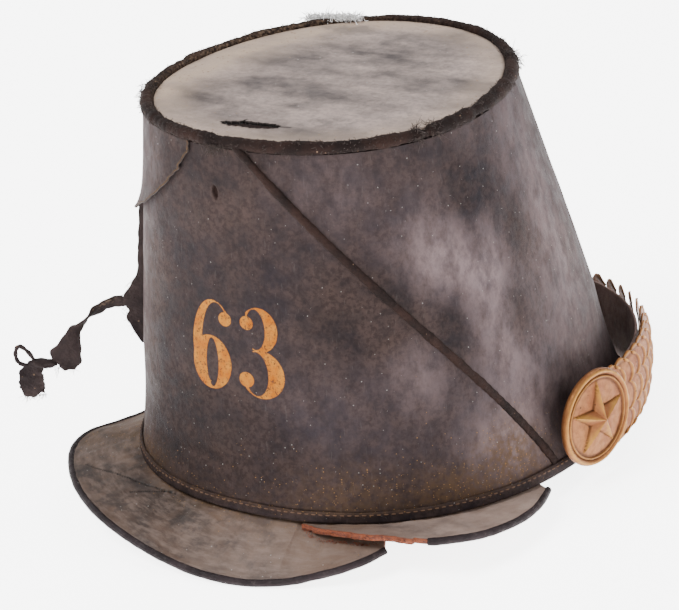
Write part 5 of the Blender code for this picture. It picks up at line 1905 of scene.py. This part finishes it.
def build_tie_strip(name, node, rows, count, seed):
    """A strip that turns about its own length, with ragged edges and a ragged end."""
    path, more = tie_path(rows, count)
    width = more[:, 0] * TIE_WIDTH
    turn = np.radians(more[:, 1])[:, None]
    along = unit(np.gradient(path, axis=0))
    flat = unit(np.cross(along, tie_front))
    across = flat * np.cos(turn) + tie_front * np.sin(turn)
    thick = unit(np.cross(along, across))
    run = np.linspace(0, 1, count)[:, None]
    share = np.linspace(-1, 1, 27)[None, :]
    rag = 1 + 0.07 * ripples(pairs(run * 40, 9 * np.sign(share)), seed, 4.0, 14.0)
    spread = share * rag * width[:, None] / 2
    end = 0.9 * MM * ripples(pairs(share * 6, 0 * run), seed + 1, 3.0, 11.0)
    ripple = 0.35 * MM * ripples(pairs(run * 40, share * 4), seed + 2, 4.0, 14.0)
    grid = path[:, None] + across[:, None] * spread[..., None]
    grid = grid + thick[:, None] * (ripple * np.abs(share))[..., None]
    grid = grid + along[:, None] * (end * rise_between(run, 0.85, 1.0))[..., None]
    # The paler patch where the strip twists up: dust on its paler side, with a painted highlight
    dust_and_highlight = 0.95 * hump(run, 0.20, 0.10) * rise_between(share, -0.2, 0.5) * (name == "cloth_ribbon")
    piece = make_sheet(name, grid, [tie_wool], attributes={"dust_and_highlight": dust_and_highlight})
    thicken(piece, TIE_THICKNESS, offset=0.0)
    seat(piece, node)
    length = float(lengths(path)[-1])
    return piece, length, float(width.mean() * length)


def build_knot():
    """A lump of wound cloth: a ball whose radius is ridged along a slanting turn."""
    polar = np.linspace(0, np.pi, 30)[:, None]
    turn = full_turn(44)
    bulge = 1 + 0.12 * np.cos(3 * turn + 5 * polar) + 0.06 * np.cos(7 * turn - 4 * polar)
    radius = KNOT_RADIUS * np.sin(polar) ** 0.8 * bulge
    x = KNOT_HALF_LENGTH * np.cos(polar) * (0.9 + 0.1 * bulge)
    y = radius * np.cos(turn)
    z = radius * np.sin(turn) + 0.06 * x
    grid = knot_middle + tie_away * x[..., None] + tie_front * y[..., None]
    grid[..., 2] += z
    piece = weld(make_sheet("cloth_knot", grid, [tie_wool], around=True))
    return seat(piece, "tie_knot")


def build_loop():
    """A twisted cord bent into a small loop."""
    path, _ = tie_path(LOOP_ROWS, 90)
    turn = full_turn(10)
    twist = LOOP_CORD_RADIUS * (1 + 0.18 * np.cos(2 * turn + np.arange(90)[:, None] * 0.5))
    grid = sweep(path, tie_front, circle(turn, twist))
    piece = weld(make_sheet("cloth_loop", grid, [tie_wool], around=True))
    return seat(piece, "tie_loop")


def build_tie_fray():
    """Threads from the ends of the broad piece, the tail, the knot and the torn lining's edge."""
    rng = np.random.default_rng(131)
    roots = []
    for rows, near in ((TIE_ROWS, 0.96), (TAIL_ROWS, 0.97)):
        path, _ = tie_path(rows, 60)
        spot = path[rng.integers(int(near * 60) - 4, 60, 60)]
        roots.append(spot + tie_away * rng.uniform(-0.4, 0.4, (60, 1)) * TIE_WIDTH)
    share = rng.uniform(0.30, 0.50, 60)
    angle, stand = follow(LINING_ROWS, share).T
    roots.append(crown(angle, share * CROWN_HEIGHT, LINING_STAND * stand))
    roots.append(knot_middle + rng.normal(0, 1.2 * MM, (40, 3)))
    roots = np.concatenate(roots)
    lean = rng.normal(size=roots.shape) * 0.6 + tie_away * 0.4 - (0, 0, 0.5)
    piece = fibres("tie_fray", roots, lean, 2.6 * MM, 0.08 * MM, dark_fibre, 132, curl=0.5, droop=0.2)
    return seat(piece)


ribbon, ribbon_length, ribbon_area = build_tie_strip("cloth_ribbon", "tie_ribbon", TIE_ROWS, 170, 121)
build_tie_strip("cloth_tail", "tie_tail", TAIL_ROWS, 60, 124)
build_knot()
build_loop()
build_tie_fray()
print("ribbon", round(ribbon_length / MM, 1), "mm long, flat area", round(ribbon_area * 1e6), "square mm")
